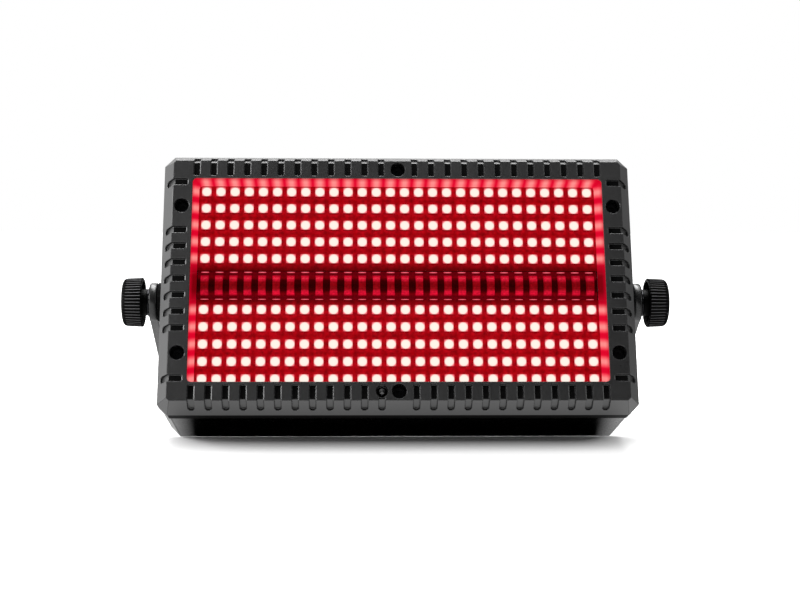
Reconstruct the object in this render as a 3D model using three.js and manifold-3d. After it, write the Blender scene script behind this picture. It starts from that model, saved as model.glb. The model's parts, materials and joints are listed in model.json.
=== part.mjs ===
// A compact LED strobe light on a yoke, standing on its lower back edge with the yoke swung behind it.
// Lengths are in millimetres. X runs to the right, Y to the back and Z up, and the floor is at Z = 0.
// The head is drawn face up, with its LED tops at height zero, and is then leaned back on its rear edge.
import * as THREE from "three";
import { mergeVertices } from "three/addons/utils/BufferGeometryUtils.js";
import Module from "manifold-3d";

const wasm = await Module();
wasm.setup();

// Clearances, and the overrun of every cutting tool
const seatGap = 0.3;
const boreGap = 0.3;
const overrun = 1;
const fuse = 0.2;
const weldDistance = 0.0001;

// The field of red LEDs: two boards, one above and one below the strobe strip
const ledPitch = 7.5;
const ledColumns = 28;
const ledRows = 5;
const ledRowPitch = 9.28;
const innerRowY = 13.88;
const ledSide = 5;
const ledHeight = 1.6;
const boardThickness = 1.6;
const fieldSideMargin = 0.3;
const fieldEndMargin = 3.5;
const boardBorder = 3.6;

// The window in the bezel and the bezel itself
const recessDepth = 10.9;
const flareX = 2.4;
const flareY = 0.35;
const windowCorner = 1.8;
const windowLip = 1.5;
const faceBorder = 9.8;
const faceSideBorder = 10.2;
const slopeRunX = 5.8;
const slopeRunY = 5.45;
const slopeDrop = 10.4;
const faceCorner = 1.5;
const rimCorner = 5.4;
const lipDepth = 8;
const frameWall = 0.6;
const frameRim = 0.6;

// Ventilation grooves round the bezel
const groovePitch = 8.8;
const grooveWidth = 3.4;
const grooveDepth = 1.3;
const grooveMarginX = 2.3;
const grooveMarginY = 1.3;
const grooveCorner = 0.95;
const grooveSlopeShare = 0.7;
const longGrooveSteps = [1, 2, 3, 4, 5, 6, 7, 8, 9, 10, 11, 12];
const shortGrooveSteps = [-6, -3, -2, -1, 0, 1, 2, 3, 6];
const sideScrewSteps = 4.5;
const sideScrewShare = 0.53;

// Bezel screws in deep counterbores
const screwShank = 4;
const screwHead = 6.4;
const screwHeadHeight = 2.6;
const counterborePlay = 0.65;
const counterboreDepth = 8.2;
const screwReach = 22;
const driveShare = 0.47;
const driveDepthShare = 0.6;
const driveSides = 6;

// Infrared receiver beside the lower middle screw
const receiverWell = 6.2;
const receiverWellDepth = 3;
const receiverBody = 4.4;
const receiverHeight = 2.2;
const receiverLead = 1.6;
const receiverLeadLength = 3;

// Strobe strip: a sunk board with white LEDs under a moulded row of arched lenses
const stripHalfWidth = 8;
const stripGap = 0.6;
const lensFootDepth = 3;
const lensBase = 1.2;
const lensArch = 5.3;
const lensFootWidth = 4.7;
const lensCrestWidth = 3.6;
const lensArchSteps = 6;
const lensSkirt = 1.2;
const whiteLedSide = 3.5;
const whiteLedHeight = 0.8;

// Heat sink
const sinkBase = 5.2;
const sinkMarginX = 9;
const sinkMarginY = 7.6;
const finLength = 8;
const finThickness = 1.6;
const finCount = 10;
const finMarginX = 12.7;
const finMarginY = 10.45;

// Rear housing
const headDepth = 71;
const housingInset = 0.7;
const housingWall = 2.8;
const gasketThickness = 0.5;
const gasketWidth = 2.2;
const gasketGap = 0.2;
const screwBoss = 9;
const bossWeb = 4;
const ventSlotCount = 4;
const ventSlotWidth = 2.4;
const ventSlotLength = 24;
const ventSlotPitch = 6;
const ventOffsetY = 40;
const ventFrontDepth = 22;

// Pivot, clamp knobs and friction parts
const pivotDepth = 35.5;
const pivotBossRadius = 12;
const pivotBossRise = 4;
const pivotBossInside = 10;
const insertRadius = 7;
const insertInset = 0.4;
const discRadius = 10.6;
const discThickness = 1.5;
const studRadius = 4;
const knobRadius = 13.4;
const knobThickness = 10.8;
const knobRibs = 46;
const knobRibDepth = 0.6;
const knobEdgeRound = 2.6;
const knobEdgeStep = 0.65;
const knobFaceInset = 2.4;
const knobWall = 1.7;
const knobHollow = 6;
const knobHubRadius = 7.2;
const knobHubLength = 2.4;
const knobFaceWall = 3;
const washerRadius = 7.6;
const washerThickness = 0.8;
const washerGap = 0.2;

// Yoke
const strapThickness = 4.5;
const strapWidth = 20;
const eyeRadius = 10.5;
const yokeReach = 116.5;
const yokeBend = 8;
const clampHole = 13;
const sideHole = 10.5;
const sideHoleOffset = 45;
const eyePlay = 0.4;

// How the light stands: its face leans back by this angle
const leanDegrees = 20;

// Cooling fan
const fanSideGap = 12.2;
const fanY = 16;
const fanSide = 60;
const fanDepth = 15;
const fanCorner = 4;
const fanWall = 1.5;
const fanHub = 24;
const fanTipGap = 1.5;
const fanBlades = 7;
const fanBladeThickness = 1.6;
const fanBladePitchDegrees = 40;
const fanBladeHeightShare = 0.78;
const fanHoleInset = 5;
const fanSpokeWidth = 3;
const fanSpokeDepth = 2;
const fanRotorGap = 0.6;
const grilleSlot = 3;
const grilleSlots = 9;
const fanScrewShank = 3.6;
const fanScrewHead = 7;
const fanScrewHeadHeight = 2;
const fanScrewLength = 14;

// Power supply behind the heat sink
const supplyTopGap = 7.6;
const supplyHeight = 70;
const supplySideGap = 4;
const supplyTab = 10;
const supplyPost = 6.6;
const supplyPostRadius = 3.5;
const supplyPostInset = 5;
const supplyPlate = 1.6;
const supplyFrontGap = 7.7;
const supplySlots = 8;
const supplySlotWidth = 2.4;
const supplySlotDepth = 1;
const supplySlotBorder = 12;
const terminalWidth = 8;
const terminalGap = 4.5;
const terminalHeight = 12;
const terminalRibs = 6;
const terminalRibWidth = 1.2;
const terminalRibDepth = 3;
const supplyScrewHead = 5;
const supplyScrewHeadHeight = 1.8;
const supplyScrewShank = 2.6;
const supplyScrewLength = 6;
const supplyScrewPilot = 5;

// Control board, display and menu buttons in the rear wall
const controlGap = 4;
const displayDrop = 29.4;
const displayWidth = 28;
const displayHeight = 15;
const displayInset = 0.7;
const displayThickness = 1.5;
const displayModuleHeight = 4.6;
const controlWidth = 36;
const controlLowBorder = 14;
const controlTopBorder = 8.5;
const controlStandoff = 8;
const buttonDrop = 18;
const buttonSpacing = 0.8;
const buttonCount = 4;
const buttonRadius = 2.9;
const buttonRise = 1.6;
const buttonLip = 0.7;
const buttonFlangeThickness = 1;
const buttonTravel = 0.8;
const buttonStem = 1.4;
const buttonStemLength = 1.5;
const switchSide = 5;

// Sockets in the rear wall
const socketY = -42;
const inletX = -84;
const socketSpacing = 1.5;
const dataOffset = 31;
const dataSpacing = 14;
const flangeThickness = 2.4;
const mainsFlangeLip = 3;
const mainsSideWall = 2.75;
const mainsEndWall = 2.6;
const mainsBodyDepth = 20;
const mainsRecessWidth = 24.5;
const mainsRecessHeight = 16.8;
const mainsRecessCorner = 4;
const mainsRecessDepth = 15;
const bladeLength = 8;
const bladeThickness = 2;
const bladeWidth = 4;
const bladePitch = 7;
const bladeDrop = 3;
const plugWallGap = 1.3;
const fuseBodyRadius = 6;
const fuseBodyDepth = 24;
const fuseFlangeRadius = 8.5;
const fuseCapRadius = 5.6;
const fuseCapHeight = 5;
const fuseCapRootRadius = 3;
const fuseCapRoot = 8;
const fuseSlotWidth = 1.5;
const fuseSlotDepth = 1.4;
const dataFlangeLip = 1.2;
const dataFlangeHeight = 31;
const dataFlangeCorner = 3;
const dataWall = 2.3;
const dataBodyDepth = 18;
const dataRecessRadius = 9.5;
const dataRecessDepth = 13;
const dataPinRadius = 1.2;
const dataPinLength = 7;
const dataPinCircle = 4.1;
const dataPinAngles = [90, 210, 330];
const dataHoleRadius = 1.5;
const dataFemaleRadius = 8.6;
const dataFemaleRise = 0.8;

// Safety eye at the top of the rear wall
const safetyInset = 8.4;
const safetyRing = 9;
const safetyWire = 2.2;
const safetyCollar = 6;
const safetyCollarHeight = 2.5;
const safetyShank = 2.8;
const safetyShankLength = 9;

// Facets of round shapes
const fineSides = 24;
const roundSides = 16;
const smallSides = 8;
const postSides = 6;
const cornerSteps = 2;
const grooveEndSteps = 3;

// Heights in the head, counted from the LED tops
const boardFrontZ = -ledHeight;
const boardBackZ = boardFrontZ - boardThickness;
const bezelFloorZ = boardFrontZ + seatGap;
const faceZ = recessDepth;
const rimZ = faceZ - slopeDrop;
const lipZ = rimZ - lipDepth;
const frameTopZ = faceZ - windowLip - seatGap;
const sinkFrontZ = boardBackZ - seatGap;
const sinkBackZ = sinkFrontZ - sinkBase;
const lensFootZ = -lensFootDepth;
const lensBackZ = lensFootZ - lensBase;
const stripFrontZ = lensBackZ - seatGap - whiteLedHeight;
const stripBackZ = stripFrontZ - boardThickness;
const channelZ = stripBackZ - seatGap;
const gasketFrontZ = lipZ - gasketGap;
const gasketBackZ = gasketFrontZ - gasketThickness;
const housingFrontZ = gasketBackZ - gasketGap;
const bossFrontZ = sinkBackZ - seatGap;
const rearZ = faceZ - headDepth;
const rearInsideZ = rearZ + housingWall;
const counterboreZ = faceZ - counterboreDepth;
const pivotZ = -pivotDepth;

// Half sizes in the plane of the face
const fieldHalfX = (ledColumns * ledPitch) / 2 + fieldSideMargin;
const fieldHalfY = innerRowY + (ledRows - 1) * ledRowPitch + fieldEndMargin;
const windowHalfX = fieldHalfX + flareX;
const windowHalfY = fieldHalfY + flareY;
const frameOuterX = windowHalfX + frameWall;
const frameOuterY = windowHalfY + frameRim;
const faceHalfX = windowHalfX + faceSideBorder;
const faceHalfY = windowHalfY + faceBorder;
const rimHalfX = faceHalfX + slopeRunX;
const rimHalfY = faceHalfY + slopeRunY;
const housingHalfX = rimHalfX - housingInset;
const housingHalfY = rimHalfY - housingInset;
const sinkHalfX = windowHalfX + sinkMarginX;
const sinkHalfY = windowHalfY + sinkMarginY;
const finFieldX = sinkHalfX - finMarginX;
const finFieldY = sinkHalfY - finMarginY;
const boardHalfX = fieldHalfX + boardBorder;
const boardHalfY = fieldHalfY + boardBorder;
const stripEdgeY = stripHalfWidth + stripGap;
const screwLineX = windowHalfX + faceSideBorder * sideScrewShare;
const screwLineY = windowHalfY + faceBorder / 2;

// Distances from the middle out along the pivot
const bossX = housingHalfX + pivotBossRise;
const discX = bossX + seatGap;
const strapInnerX = discX + discThickness + seatGap;
const strapOuterX = strapInnerX + strapThickness;
const washerX = strapOuterX + washerGap;
const hubX = washerX + washerThickness + washerGap;
const knobX = hubX + knobHubLength;
const knobOuterX = knobX + knobThickness;
const insertOuterX = bossX - insertInset;
const insertInnerX = housingHalfX - housingWall - pivotBossInside;

// Holes for the screws and studs
const screwHole = screwShank + boreGap * 2;
const counterbore = screwHead + counterborePlay * 2;
const fanScrewHole = fanScrewShank + boreGap * 2;
const supplyScrewHole = supplyScrewShank + boreGap * 2;
const eyeHole = (studRadius + eyePlay) * 2;
const knobFaceRadius = knobRadius - knobFaceInset;

// Fan and grille
const fanX = insertInnerX - fanSideGap - fanSide / 2;
const fanBore = fanSide - fanWall * 2;
const fanBladeTip = fanBore - fanTipGap * 2;
const fanHolePitch = fanSide - fanHoleInset * 2;
const grilleRadius = fanBladeTip / 2;
const grillePitch = (grilleRadius * 2) / grilleSlots;

// Control board beside the fan, behind the display and the buttons
const controlX = fanX - fanSide / 2 - controlGap - controlWidth / 2;
const displayY = housingHalfY - displayDrop;
const buttonY = displayY - buttonDrop;
const controlHigh = displayY + displayHeight / 2 + controlTopBorder;
const controlLow = buttonY - controlLowBorder;
const buttonFlange = buttonRadius + buttonLip;
const buttonPitch = buttonFlange * 2 + buttonSpacing;
const safetyY = housingHalfY - safetyInset;

// Sockets, each beside the one before
const mainsBodyWidth = mainsRecessWidth + mainsSideWall * 2;
const mainsBodyHeight = mainsRecessHeight + mainsEndWall * 2;
const mainsFlangeWidth = mainsBodyWidth + mainsFlangeLip * 2;
const mainsFlangeHeight = mainsBodyHeight + mainsFlangeLip * 2;
const dataBodyRadius = dataRecessRadius + dataWall;
const dataFlangeWidth = (dataBodyRadius + dataFlangeLip) * 2;
const fuseX = inletX + mainsFlangeWidth / 2 + socketSpacing + fuseFlangeRadius;
const outletX = fuseX + fuseFlangeRadius + socketSpacing + mainsFlangeWidth / 2;
const dataInX = outletX + mainsFlangeWidth / 2 + dataOffset + dataFlangeWidth / 2;
const dataOutX = dataInX + dataFlangeWidth + dataSpacing;

// The power supply fills the room from the left pivot boss to the control board
const supplyLeftX = supplySideGap - insertInnerX;
const supplyRightX = controlX - controlWidth / 2 - supplySideGap;
const supplyX = (supplyLeftX + supplyRightX) / 2;
const supplyWidth = supplyRightX - supplyLeftX;
const supplyCaseLength = supplyWidth - supplyTab * 2;
const supplyY = housingHalfY - housingWall - supplyTopGap - supplyHeight / 2;
const supplyBackZ = rearInsideZ + supplyPost + seatGap;
const supplyTall = sinkBackZ - finLength - supplyFrontGap - supplyBackZ;
const terminalLength = supplyHeight - (supplyPostInset + supplyScrewHead / 2 + terminalGap) * 2;

// Screw places on the bezel
const sideScrewY = sideScrewSteps * groovePitch;
const bezelScrewPlaces = [
  [0, screwLineY],
  [0, -screwLineY],
  [-screwLineX, sideScrewY],
  [-screwLineX, -sideScrewY],
  [screwLineX, sideScrewY],
  [screwLineX, -sideScrewY],
];

// Materials, with the colours and finish of the real surfaces
const finishes = {
  housing: { color: 0x1b1b1c, roughness: 0.62, metalness: 0 },
  bezel: { color: 0x1d1d1e, roughness: 0.55, metalness: 0 },
  frame: { color: 0x7a0a14, roughness: 0.15, metalness: 0 },
  board: { color: 0x6e0508, roughness: 0.5, metalness: 0 },
  lens: { color: 0x8c0a16, roughness: 0.15, metalness: 0 },
  aluminium: { color: 0xa8abad, roughness: 0.4, metalness: 1 },
  rubber: { color: 0x111111, roughness: 0.9, metalness: 0 },
  knob: { color: 0x161617, roughness: 0.5, metalness: 0 },
  strap: { color: 0x202021, roughness: 0.5, metalness: 0.3 },
  steel: { color: 0x8f9194, roughness: 0.35, metalness: 1 },
  blackSteel: { color: 0x141415, roughness: 0.4, metalness: 0.8 },
  brass: { color: 0xb08d4a, roughness: 0.35, metalness: 1 },
  circuit: { color: 0x174a2a, roughness: 0.5, metalness: 0 },
  plastic: { color: 0x151515, roughness: 0.6, metalness: 0 },
  button: { color: 0x303033, roughness: 0.5, metalness: 0 },
  glass: { color: 0x0a0f18, roughness: 0.08, metalness: 0 },
};

// A closed geometry as a solid: corners merged, slivers dropped and faces turned out.
function solid(shape) {
  if (shape instanceof wasm.Manifold) {
    return shape;
  }
  const loose = shape.index ? shape.toNonIndexed() : shape;
  const bare = new THREE.BufferGeometry();
  bare.setAttribute("position", loose.getAttribute("position"));
  const merged = mergeVertices(bare, weldDistance);
  const places = merged.getAttribute("position");
  const corners = Array.from(merged.index.array);
  const kept = [];
  let volume = 0;
  const a = new THREE.Vector3();
  const b = new THREE.Vector3();
  const c = new THREE.Vector3();
  for (let i = 0; i < corners.length; i += 3) {
    const [p, q, r] = corners.slice(i, i + 3);
    if (p === q || q === r || r === p) {
      continue;
    }
    kept.push([p, q, r]);
    a.fromBufferAttribute(places, p);
    b.fromBufferAttribute(places, q);
    c.fromBufferAttribute(places, r);
    volume += a.dot(b.cross(c));
  }
  const turned = kept.map(([p, q, r]) => (volume < 0 ? [p, r, q] : [p, q, r]));
  return new wasm.Manifold(
    new wasm.Mesh({
      numProp: 3,
      vertProperties: new Float32Array(places.array),
      triVerts: new Uint32Array(turned.flat()),
    }),
  );
}

// Several shapes as one solid, joined in pairs so that the work stays small.
function join(...shapes) {
  let solids = shapes.map(solid);
  while (solids.length > 1) {
    const next = [];
    for (let i = 0; i < solids.length; i += 2) {
      next.push(i + 1 < solids.length ? solids[i].add(solids[i + 1]) : solids[i]);
    }
    solids = next;
  }
  return solids[0];
}

// A body less its cutting tools.
function cut(body, ...tools) {
  return solid(body).subtract(join(...tools));
}

// A solid as a flat shaded mesh.
function piece(name, finish, shape, parent) {
  const mesh = solid(shape).getMesh();
  const geometry = new THREE.BufferGeometry();
  geometry.setAttribute("position", new THREE.BufferAttribute(mesh.vertProperties, 3));
  geometry.setIndex(new THREE.BufferAttribute(mesh.triVerts, 1));
  const material = new THREE.MeshStandardMaterial({ ...finishes[finish], flatShading: true });
  const made = new THREE.Mesh(geometry, material);
  made.name = name;
  parent.add(made);
  return made;
}

// A box between two corners.
function block([x0, x1], [y0, y1], [z0, z1]) {
  const box = new THREE.BoxGeometry(x1 - x0, y1 - y0, z1 - z0);
  return box.translate((x0 + x1) / 2, (y0 + y1) / 2, (z0 + z1) / 2);
}

// A span of a given half size about a middle.
function about(middle, half) {
  return [middle - half, middle + half];
}

// A round bar along Z.
function rod(radius, low, high, sides = roundSides) {
  const bar = new THREE.CylinderGeometry(radius, radius, high - low, sides);
  return bar.rotateX(Math.PI / 2).translate(0, 0, (low + high) / 2);
}

// An outline drawn up along Z.
function prism(outline, low, high) {
  const drawn = new THREE.ExtrudeGeometry(new THREE.Shape(outline), {
    depth: high - low,
    bevelEnabled: false,
  });
  return drawn.translate(0, 0, low);
}

// A profile of [radius, height] points turned round Z.
function turned(profile, sides = roundSides) {
  const points = profile.map(([radius, height]) => new THREE.Vector2(radius, height));
  return new THREE.LatheGeometry(points, sides).rotateX(Math.PI / 2);
}

// A skin through level rings of equal counts, with both ends closed.
function loft(rings) {
  const count = rings[0].outline.length;
  const positions = [];
  const put = (ring, i) => {
    const point = ring.outline[i % count];
    positions.push(point.x, point.y, ring.height);
  };
  for (let level = 0; level + 1 < rings.length; level += 1) {
    const [low, high] = [rings[level], rings[level + 1]];
    for (let i = 0; i < count; i += 1) {
      put(low, i);
      put(low, i + 1);
      put(high, i + 1);
      put(low, i);
      put(high, i + 1);
      put(high, i);
    }
  }
  const [first, last] = [rings[0], rings[rings.length - 1]];
  for (const [p, q, r] of THREE.ShapeUtils.triangulateShape(first.outline, [])) {
    put(first, r);
    put(first, q);
    put(first, p);
  }
  for (const [p, q, r] of THREE.ShapeUtils.triangulateShape(last.outline, [])) {
    put(last, p);
    put(last, q);
    put(last, r);
  }
  const skin = new THREE.BufferGeometry();
  return skin.setAttribute("position", new THREE.Float32BufferAttribute(positions, 3));
}

// A rectangle with its corners cut off, anticlockwise.
function cutCornerOutline(halfX, halfY, corner) {
  const places = [
    [halfX, -halfY + corner],
    [halfX, halfY - corner],
    [halfX - corner, halfY],
    [-halfX + corner, halfY],
    [-halfX, halfY - corner],
    [-halfX, -halfY + corner],
    [-halfX + corner, -halfY],
    [halfX - corner, -halfY],
  ];
  return places.map(([x, y]) => new THREE.Vector2(x, y));
}

// A rectangle with round corners, anticlockwise.
function roundOutline(halfX, halfY, radius, steps = cornerSteps) {
  const middles = [
    [halfX - radius, halfY - radius],
    [-halfX + radius, halfY - radius],
    [-halfX + radius, -halfY + radius],
    [halfX - radius, -halfY + radius],
  ];
  return middles.flatMap(([x, y], quarter) =>
    Array.from({ length: steps + 1 }, (_, i) => {
      const angle = ((quarter + i / steps) * Math.PI) / 2;
      return new THREE.Vector2(x + radius * Math.cos(angle), y + radius * Math.sin(angle));
    }),
  );
}

// A slot outline along Y from an end with round corners to a square one.
function slotOutline(width, roundEnd, squareEnd, corner) {
  const half = width / 2;
  const turn = Math.sign(squareEnd - roundEnd);
  const arc = Array.from({ length: grooveEndSteps + 1 }, (_, i) => {
    const angle = (Math.PI * i) / grooveEndSteps;
    const side = Math.sign(i * 2 - grooveEndSteps);
    return new THREE.Vector2(
      side * (half - corner) - corner * Math.cos(angle),
      roundEnd + turn * corner * (1 - Math.sin(angle)),
    );
  });
  return [...arc, new THREE.Vector2(half, squareEnd), new THREE.Vector2(-half, squareEnd)];
}

// Front bezel

// The cutters of one groove, drawn over the edge at +Y: one in the face and one down the slope.
function grooveCutters(faceEdge, slopeRun, innerEnd) {
  const slopeLength = Math.hypot(slopeRun, slopeDrop);
  const inFace = prism(
    slotOutline(grooveWidth, innerEnd, faceEdge + slopeRun / 2, grooveCorner),
    faceZ - grooveDepth,
    faceZ + overrun,
  );
  const inSlope = prism(
    slotOutline(grooveWidth, slopeLength * grooveSlopeShare, -grooveDepth / 2, grooveWidth / 2),
    -grooveDepth,
    overrun,
  );
  const out = slopeRun / slopeLength;
  const down = slopeDrop / slopeLength;
  const basis = new THREE.Matrix4().makeBasis(
    new THREE.Vector3(1, 0, 0),
    new THREE.Vector3(0, out, -down),
    new THREE.Vector3(0, down, out),
  );
  inSlope.applyMatrix4(basis).translate(0, faceEdge, faceZ);
  return [inFace, inSlope];
}

// All grooves, along the two long edges and the two short ones.
function allGrooves() {
  const cutters = [];
  const place = (pair, turn, along) => {
    for (const cutter of pair) {
      cutters.push(cutter.clone().translate(along, 0, 0).rotateZ(turn));
    }
  };
  const long = grooveCutters(faceHalfY, slopeRunY, windowHalfY + grooveMarginY);
  const short = grooveCutters(faceHalfX, slopeRunX, windowHalfX + grooveMarginX);
  for (const step of longGrooveSteps) {
    for (const side of [-1, 1]) {
      place(long, 0, side * step * groovePitch);
      place(long, Math.PI, side * step * groovePitch);
    }
  }
  for (const step of shortGrooveSteps) {
    place(short, Math.PI / 2, step * groovePitch);
    place(short, -Math.PI / 2, step * groovePitch);
  }
  return cutters;
}

function frontBezel() {
  const rim = cutCornerOutline(rimHalfX, rimHalfY, rimCorner);
  const face = cutCornerOutline(faceHalfX, faceHalfY, faceCorner);
  const body = loft([
    { outline: rim, height: lipZ },
    { outline: rim, height: rimZ },
    { outline: face, height: faceZ },
  ]);
  const window = prism(
    roundOutline(windowHalfX, windowHalfY, windowCorner),
    lipZ - overrun,
    faceZ + overrun,
  );
  const frameSeat = prism(
    roundOutline(frameOuterX + boreGap, frameOuterY + boreGap, windowCorner),
    lipZ - overrun,
    faceZ - windowLip,
  );
  const sinkPocket = prism(
    roundOutline(sinkHalfX + seatGap, sinkHalfY + seatGap, windowCorner),
    lipZ - overrun,
    bezelFloorZ,
  );
  const holes = bezelScrewPlaces.flatMap(([x, y]) => [
    rod(counterbore / 2, counterboreZ, faceZ + overrun).translate(x, y, 0),
    rod(screwHole / 2, lipZ - overrun, faceZ, smallSides).translate(x, y, 0),
  ]);
  const wellX = -groovePitch;
  const well = rod(receiverWell / 2, faceZ - receiverWellDepth, faceZ + overrun);
  const lead = rod(receiverLead / 2 + boreGap, lipZ - overrun, faceZ, smallSides);
  return cut(
    body,
    window,
    frameSeat,
    sinkPocket,
    ...holes,
    well.translate(wellX, -screwLineY, 0),
    lead.translate(wellX, -screwLineY, 0),
    ...allGrooves(),
  );
}

// Glossy frame that lines the window between the bezel and the boards
function windowFrame() {
  const outer = prism(
    roundOutline(frameOuterX, frameOuterY, windowCorner),
    bezelFloorZ,
    frameTopZ,
  );
  const inner = loft([
    { outline: roundOutline(fieldHalfX, fieldHalfY, windowCorner), height: bezelFloorZ - fuse },
    { outline: roundOutline(windowHalfX, windowHalfY, windowCorner), height: frameTopZ + fuse },
  ]);
  return cut(outer, inner);
}

function infraredReceiver() {
  const floorZ = faceZ - receiverWellDepth + seatGap;
  const radius = receiverBody / 2;
  const shoulder = receiverHeight - radius;
  const steps = cornerSteps;
  const dome = Array.from({ length: steps + 1 }, (_, i) => {
    const angle = (i / steps) * (Math.PI / 2);
    return [radius * Math.cos(angle), floorZ + shoulder + radius * Math.sin(angle)];
  });
  dome[steps][0] = 0;
  const profile = [
    [0, floorZ - receiverLeadLength],
    [receiverLead / 2, floorZ - receiverLeadLength],
    [receiverLead / 2, floorZ],
    [radius, floorZ],
    ...dome,
  ];
  return turned(profile, smallSides).translate(-groovePitch, -screwLineY, 0);
}

// A pan head screw along Z with its head's seat at height zero and a hexagon socket in the head.
function screw(shank, head, headHeight, length) {
  const profile = [
    [0, -length],
    [shank / 2, -length],
    [shank / 2, 0],
    [head / 2, 0],
    [head / 2, headHeight],
    [0, headHeight],
  ];
  const driveFloor = headHeight * (1 - driveDepthShare);
  const drive = rod((head * driveShare) / 2, driveFloor, headHeight + overrun, driveSides);
  return cut(turned(profile, smallSides), drive);
}

// LED boards

// One board with its rows of LED packages, for the upper or the lower half of the window.
function ledBoard(side) {
  const near = stripEdgeY;
  const far = boardHalfY;
  const board = block(
    about(0, boardHalfX),
    side > 0 ? [near, far] : [-far, -near],
    [boardBackZ, boardFrontZ],
  );
  const packages = [];
  for (let column = 0; column < ledColumns; column += 1) {
    for (let row = 0; row < ledRows; row += 1) {
      const x = (column - (ledColumns - 1) / 2) * ledPitch;
      const y = side * (innerRowY + row * ledRowPitch);
      packages.push(
        block(about(x, ledSide / 2), about(y, ledSide / 2), [boardFrontZ - fuse, 0]),
      );
    }
  }
  const notches = bezelScrewPlaces.map(([x, y]) =>
    rod(screwHole / 2, boardBackZ - overrun, overrun, smallSides).translate(x, y, 0),
  );
  return cut(join(board, ...packages), ...notches);
}

function strobeBoard() {
  const board = block(
    about(0, fieldHalfX),
    about(0, stripHalfWidth),
    [stripBackZ, stripFrontZ],
  );
  const packages = Array.from({ length: ledColumns }, (_, column) => {
    const x = (column - (ledColumns - 1) / 2) * ledPitch;
    return block(
      about(x, whiteLedSide / 2),
      about(0, whiteLedSide / 2),
      [stripFrontZ - fuse, stripFrontZ + whiteLedHeight],
    );
  });
  return join(board, ...packages);
}

// One arched lens: its outline across the strip is half an ellipse, and it narrows towards the crest.
function lensArchRidge() {
  const rings = Array.from({ length: lensArchSteps + 1 }, (_, i) => {
    const angle = (Math.PI * i) / lensArchSteps;
    const y = -stripHalfWidth * Math.cos(angle);
    const rise = lensArch * Math.sin(angle);
    const half = (lensFootWidth + (lensCrestWidth - lensFootWidth) * Math.sin(angle)) / 2;
    const outline = [
      new THREE.Vector2(-lensFootWidth / 2, lensFootZ - fuse),
      new THREE.Vector2(lensFootWidth / 2, lensFootZ - fuse),
      new THREE.Vector2(half, lensFootZ + rise),
      new THREE.Vector2(-half, lensFootZ + rise),
    ];
    return { outline, height: y };
  });
  return loft(rings).rotateX(Math.PI / 2).scale(1, -1, 1);
}

function strobeLens() {
  const plate = block(
    about(0, fieldHalfX),
    about(0, stripHalfWidth),
    [lensBackZ, lensFootZ],
  );
  const skirtZ = [stripFrontZ + seatGap, lensBackZ + fuse];
  const skirts = [-1, 1].map((side) => {
    const middle = side * (stripHalfWidth - lensSkirt / 2);
    return block(about(0, fieldHalfX), about(middle, lensSkirt / 2), skirtZ);
  });
  const ridges = Array.from({ length: ledColumns }, (_, column) =>
    lensArchRidge().translate((column - (ledColumns - 1) / 2) * ledPitch, 0, 0),
  );
  return join(plate, ...skirts, ...ridges);
}

// Heat sink

function heatSink() {
  const base = prism(
    roundOutline(sinkHalfX, sinkHalfY, windowCorner),
    sinkBackZ,
    sinkFrontZ,
  );
  const channel = block(
    about(0, fieldHalfX + seatGap),
    about(0, stripHalfWidth + seatGap),
    [channelZ, sinkFrontZ + overrun],
  );
  const finGap = (finFieldY * 2 - finThickness) / (finCount - 1);
  const fins = Array.from({ length: finCount }, (_, i) => {
    const y = -finFieldY + finThickness / 2 + i * finGap;
    return block(
      about(0, finFieldX),
      about(y, finThickness / 2),
      [sinkBackZ - finLength, sinkBackZ + fuse],
    );
  });
  const holes = bezelScrewPlaces.map(([x, y]) =>
    rod(screwHole / 2, sinkBackZ - overrun, sinkFrontZ + overrun, smallSides).translate(x, y, 0),
  );
  const leadX = -groovePitch;
  const lead = rod(receiverLead, sinkBackZ - overrun, sinkFrontZ + overrun, smallSides);
  return cut(join(base, ...fins), channel, ...holes, lead.translate(leadX, -screwLineY, 0));
}

// Rear housing

function gasket() {
  const outer = cutCornerOutline(housingHalfX, housingHalfY, rimCorner);
  const inner = cutCornerOutline(
    housingHalfX - gasketWidth,
    housingHalfY - gasketWidth,
    rimCorner,
  );
  return cut(
    prism(outer, gasketBackZ, gasketFrontZ),
    prism(inner, gasketBackZ - overrun, gasketFrontZ + overrun),
  );
}

// A column for one bezel screw, tied to the nearest wall by a web.
function screwColumn([x, y]) {
  const back = bossFrontZ - screwReach;
  const column = rod(screwBoss / 2, back, bossFrontZ, smallSides).translate(x, y, 0);
  const onSide = Math.abs(x) > 0;
  const reachX = Math.sign(x) * (housingHalfX - housingWall + fuse);
  const reachY = Math.sign(y) * (housingHalfY - housingWall + fuse);
  const spanX = onSide ? [Math.min(x, reachX), Math.max(x, reachX)] : about(0, bossWeb / 2);
  const spanY = onSide ? about(y, bossWeb / 2) : [Math.min(y, reachY), Math.max(y, reachY)];
  return [column, block(spanX, spanY, [back, bossFrontZ])];
}

const supplyPostPlaces = [-1, 1].flatMap((sideX) =>
  [-1, 1].map((sideY) => [
    supplyX + sideX * (supplyWidth / 2 - supplyTab / 2),
    supplyY + sideY * (supplyHeight / 2 - supplyPostInset),
  ]),
);
const supplyFrontZ = supplyBackZ + supplyPlate;
const controlBackZ = rearInsideZ + controlStandoff + seatGap;
const controlFrontZ = controlBackZ + boardThickness;
const controlPostPlaces = [controlLow, controlHigh].flatMap((y) =>
  [-1, 1].map((side) => [
    controlX + side * (controlWidth / 2 - supplyPostRadius),
    y + Math.sign(displayY - y) * supplyPostRadius,
  ]),
);
const fanScrewPlaces = [-1, 1].flatMap((sideX) =>
  [-1, 1].map((sideY) => [fanX + (sideX * fanHolePitch) / 2, fanY + (sideY * fanHolePitch) / 2]),
);
const buttonPlaces = Array.from({ length: buttonCount }, (_, i) => [
  controlX + (i - (buttonCount - 1) / 2) * buttonPitch,
  buttonY,
]);

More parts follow.
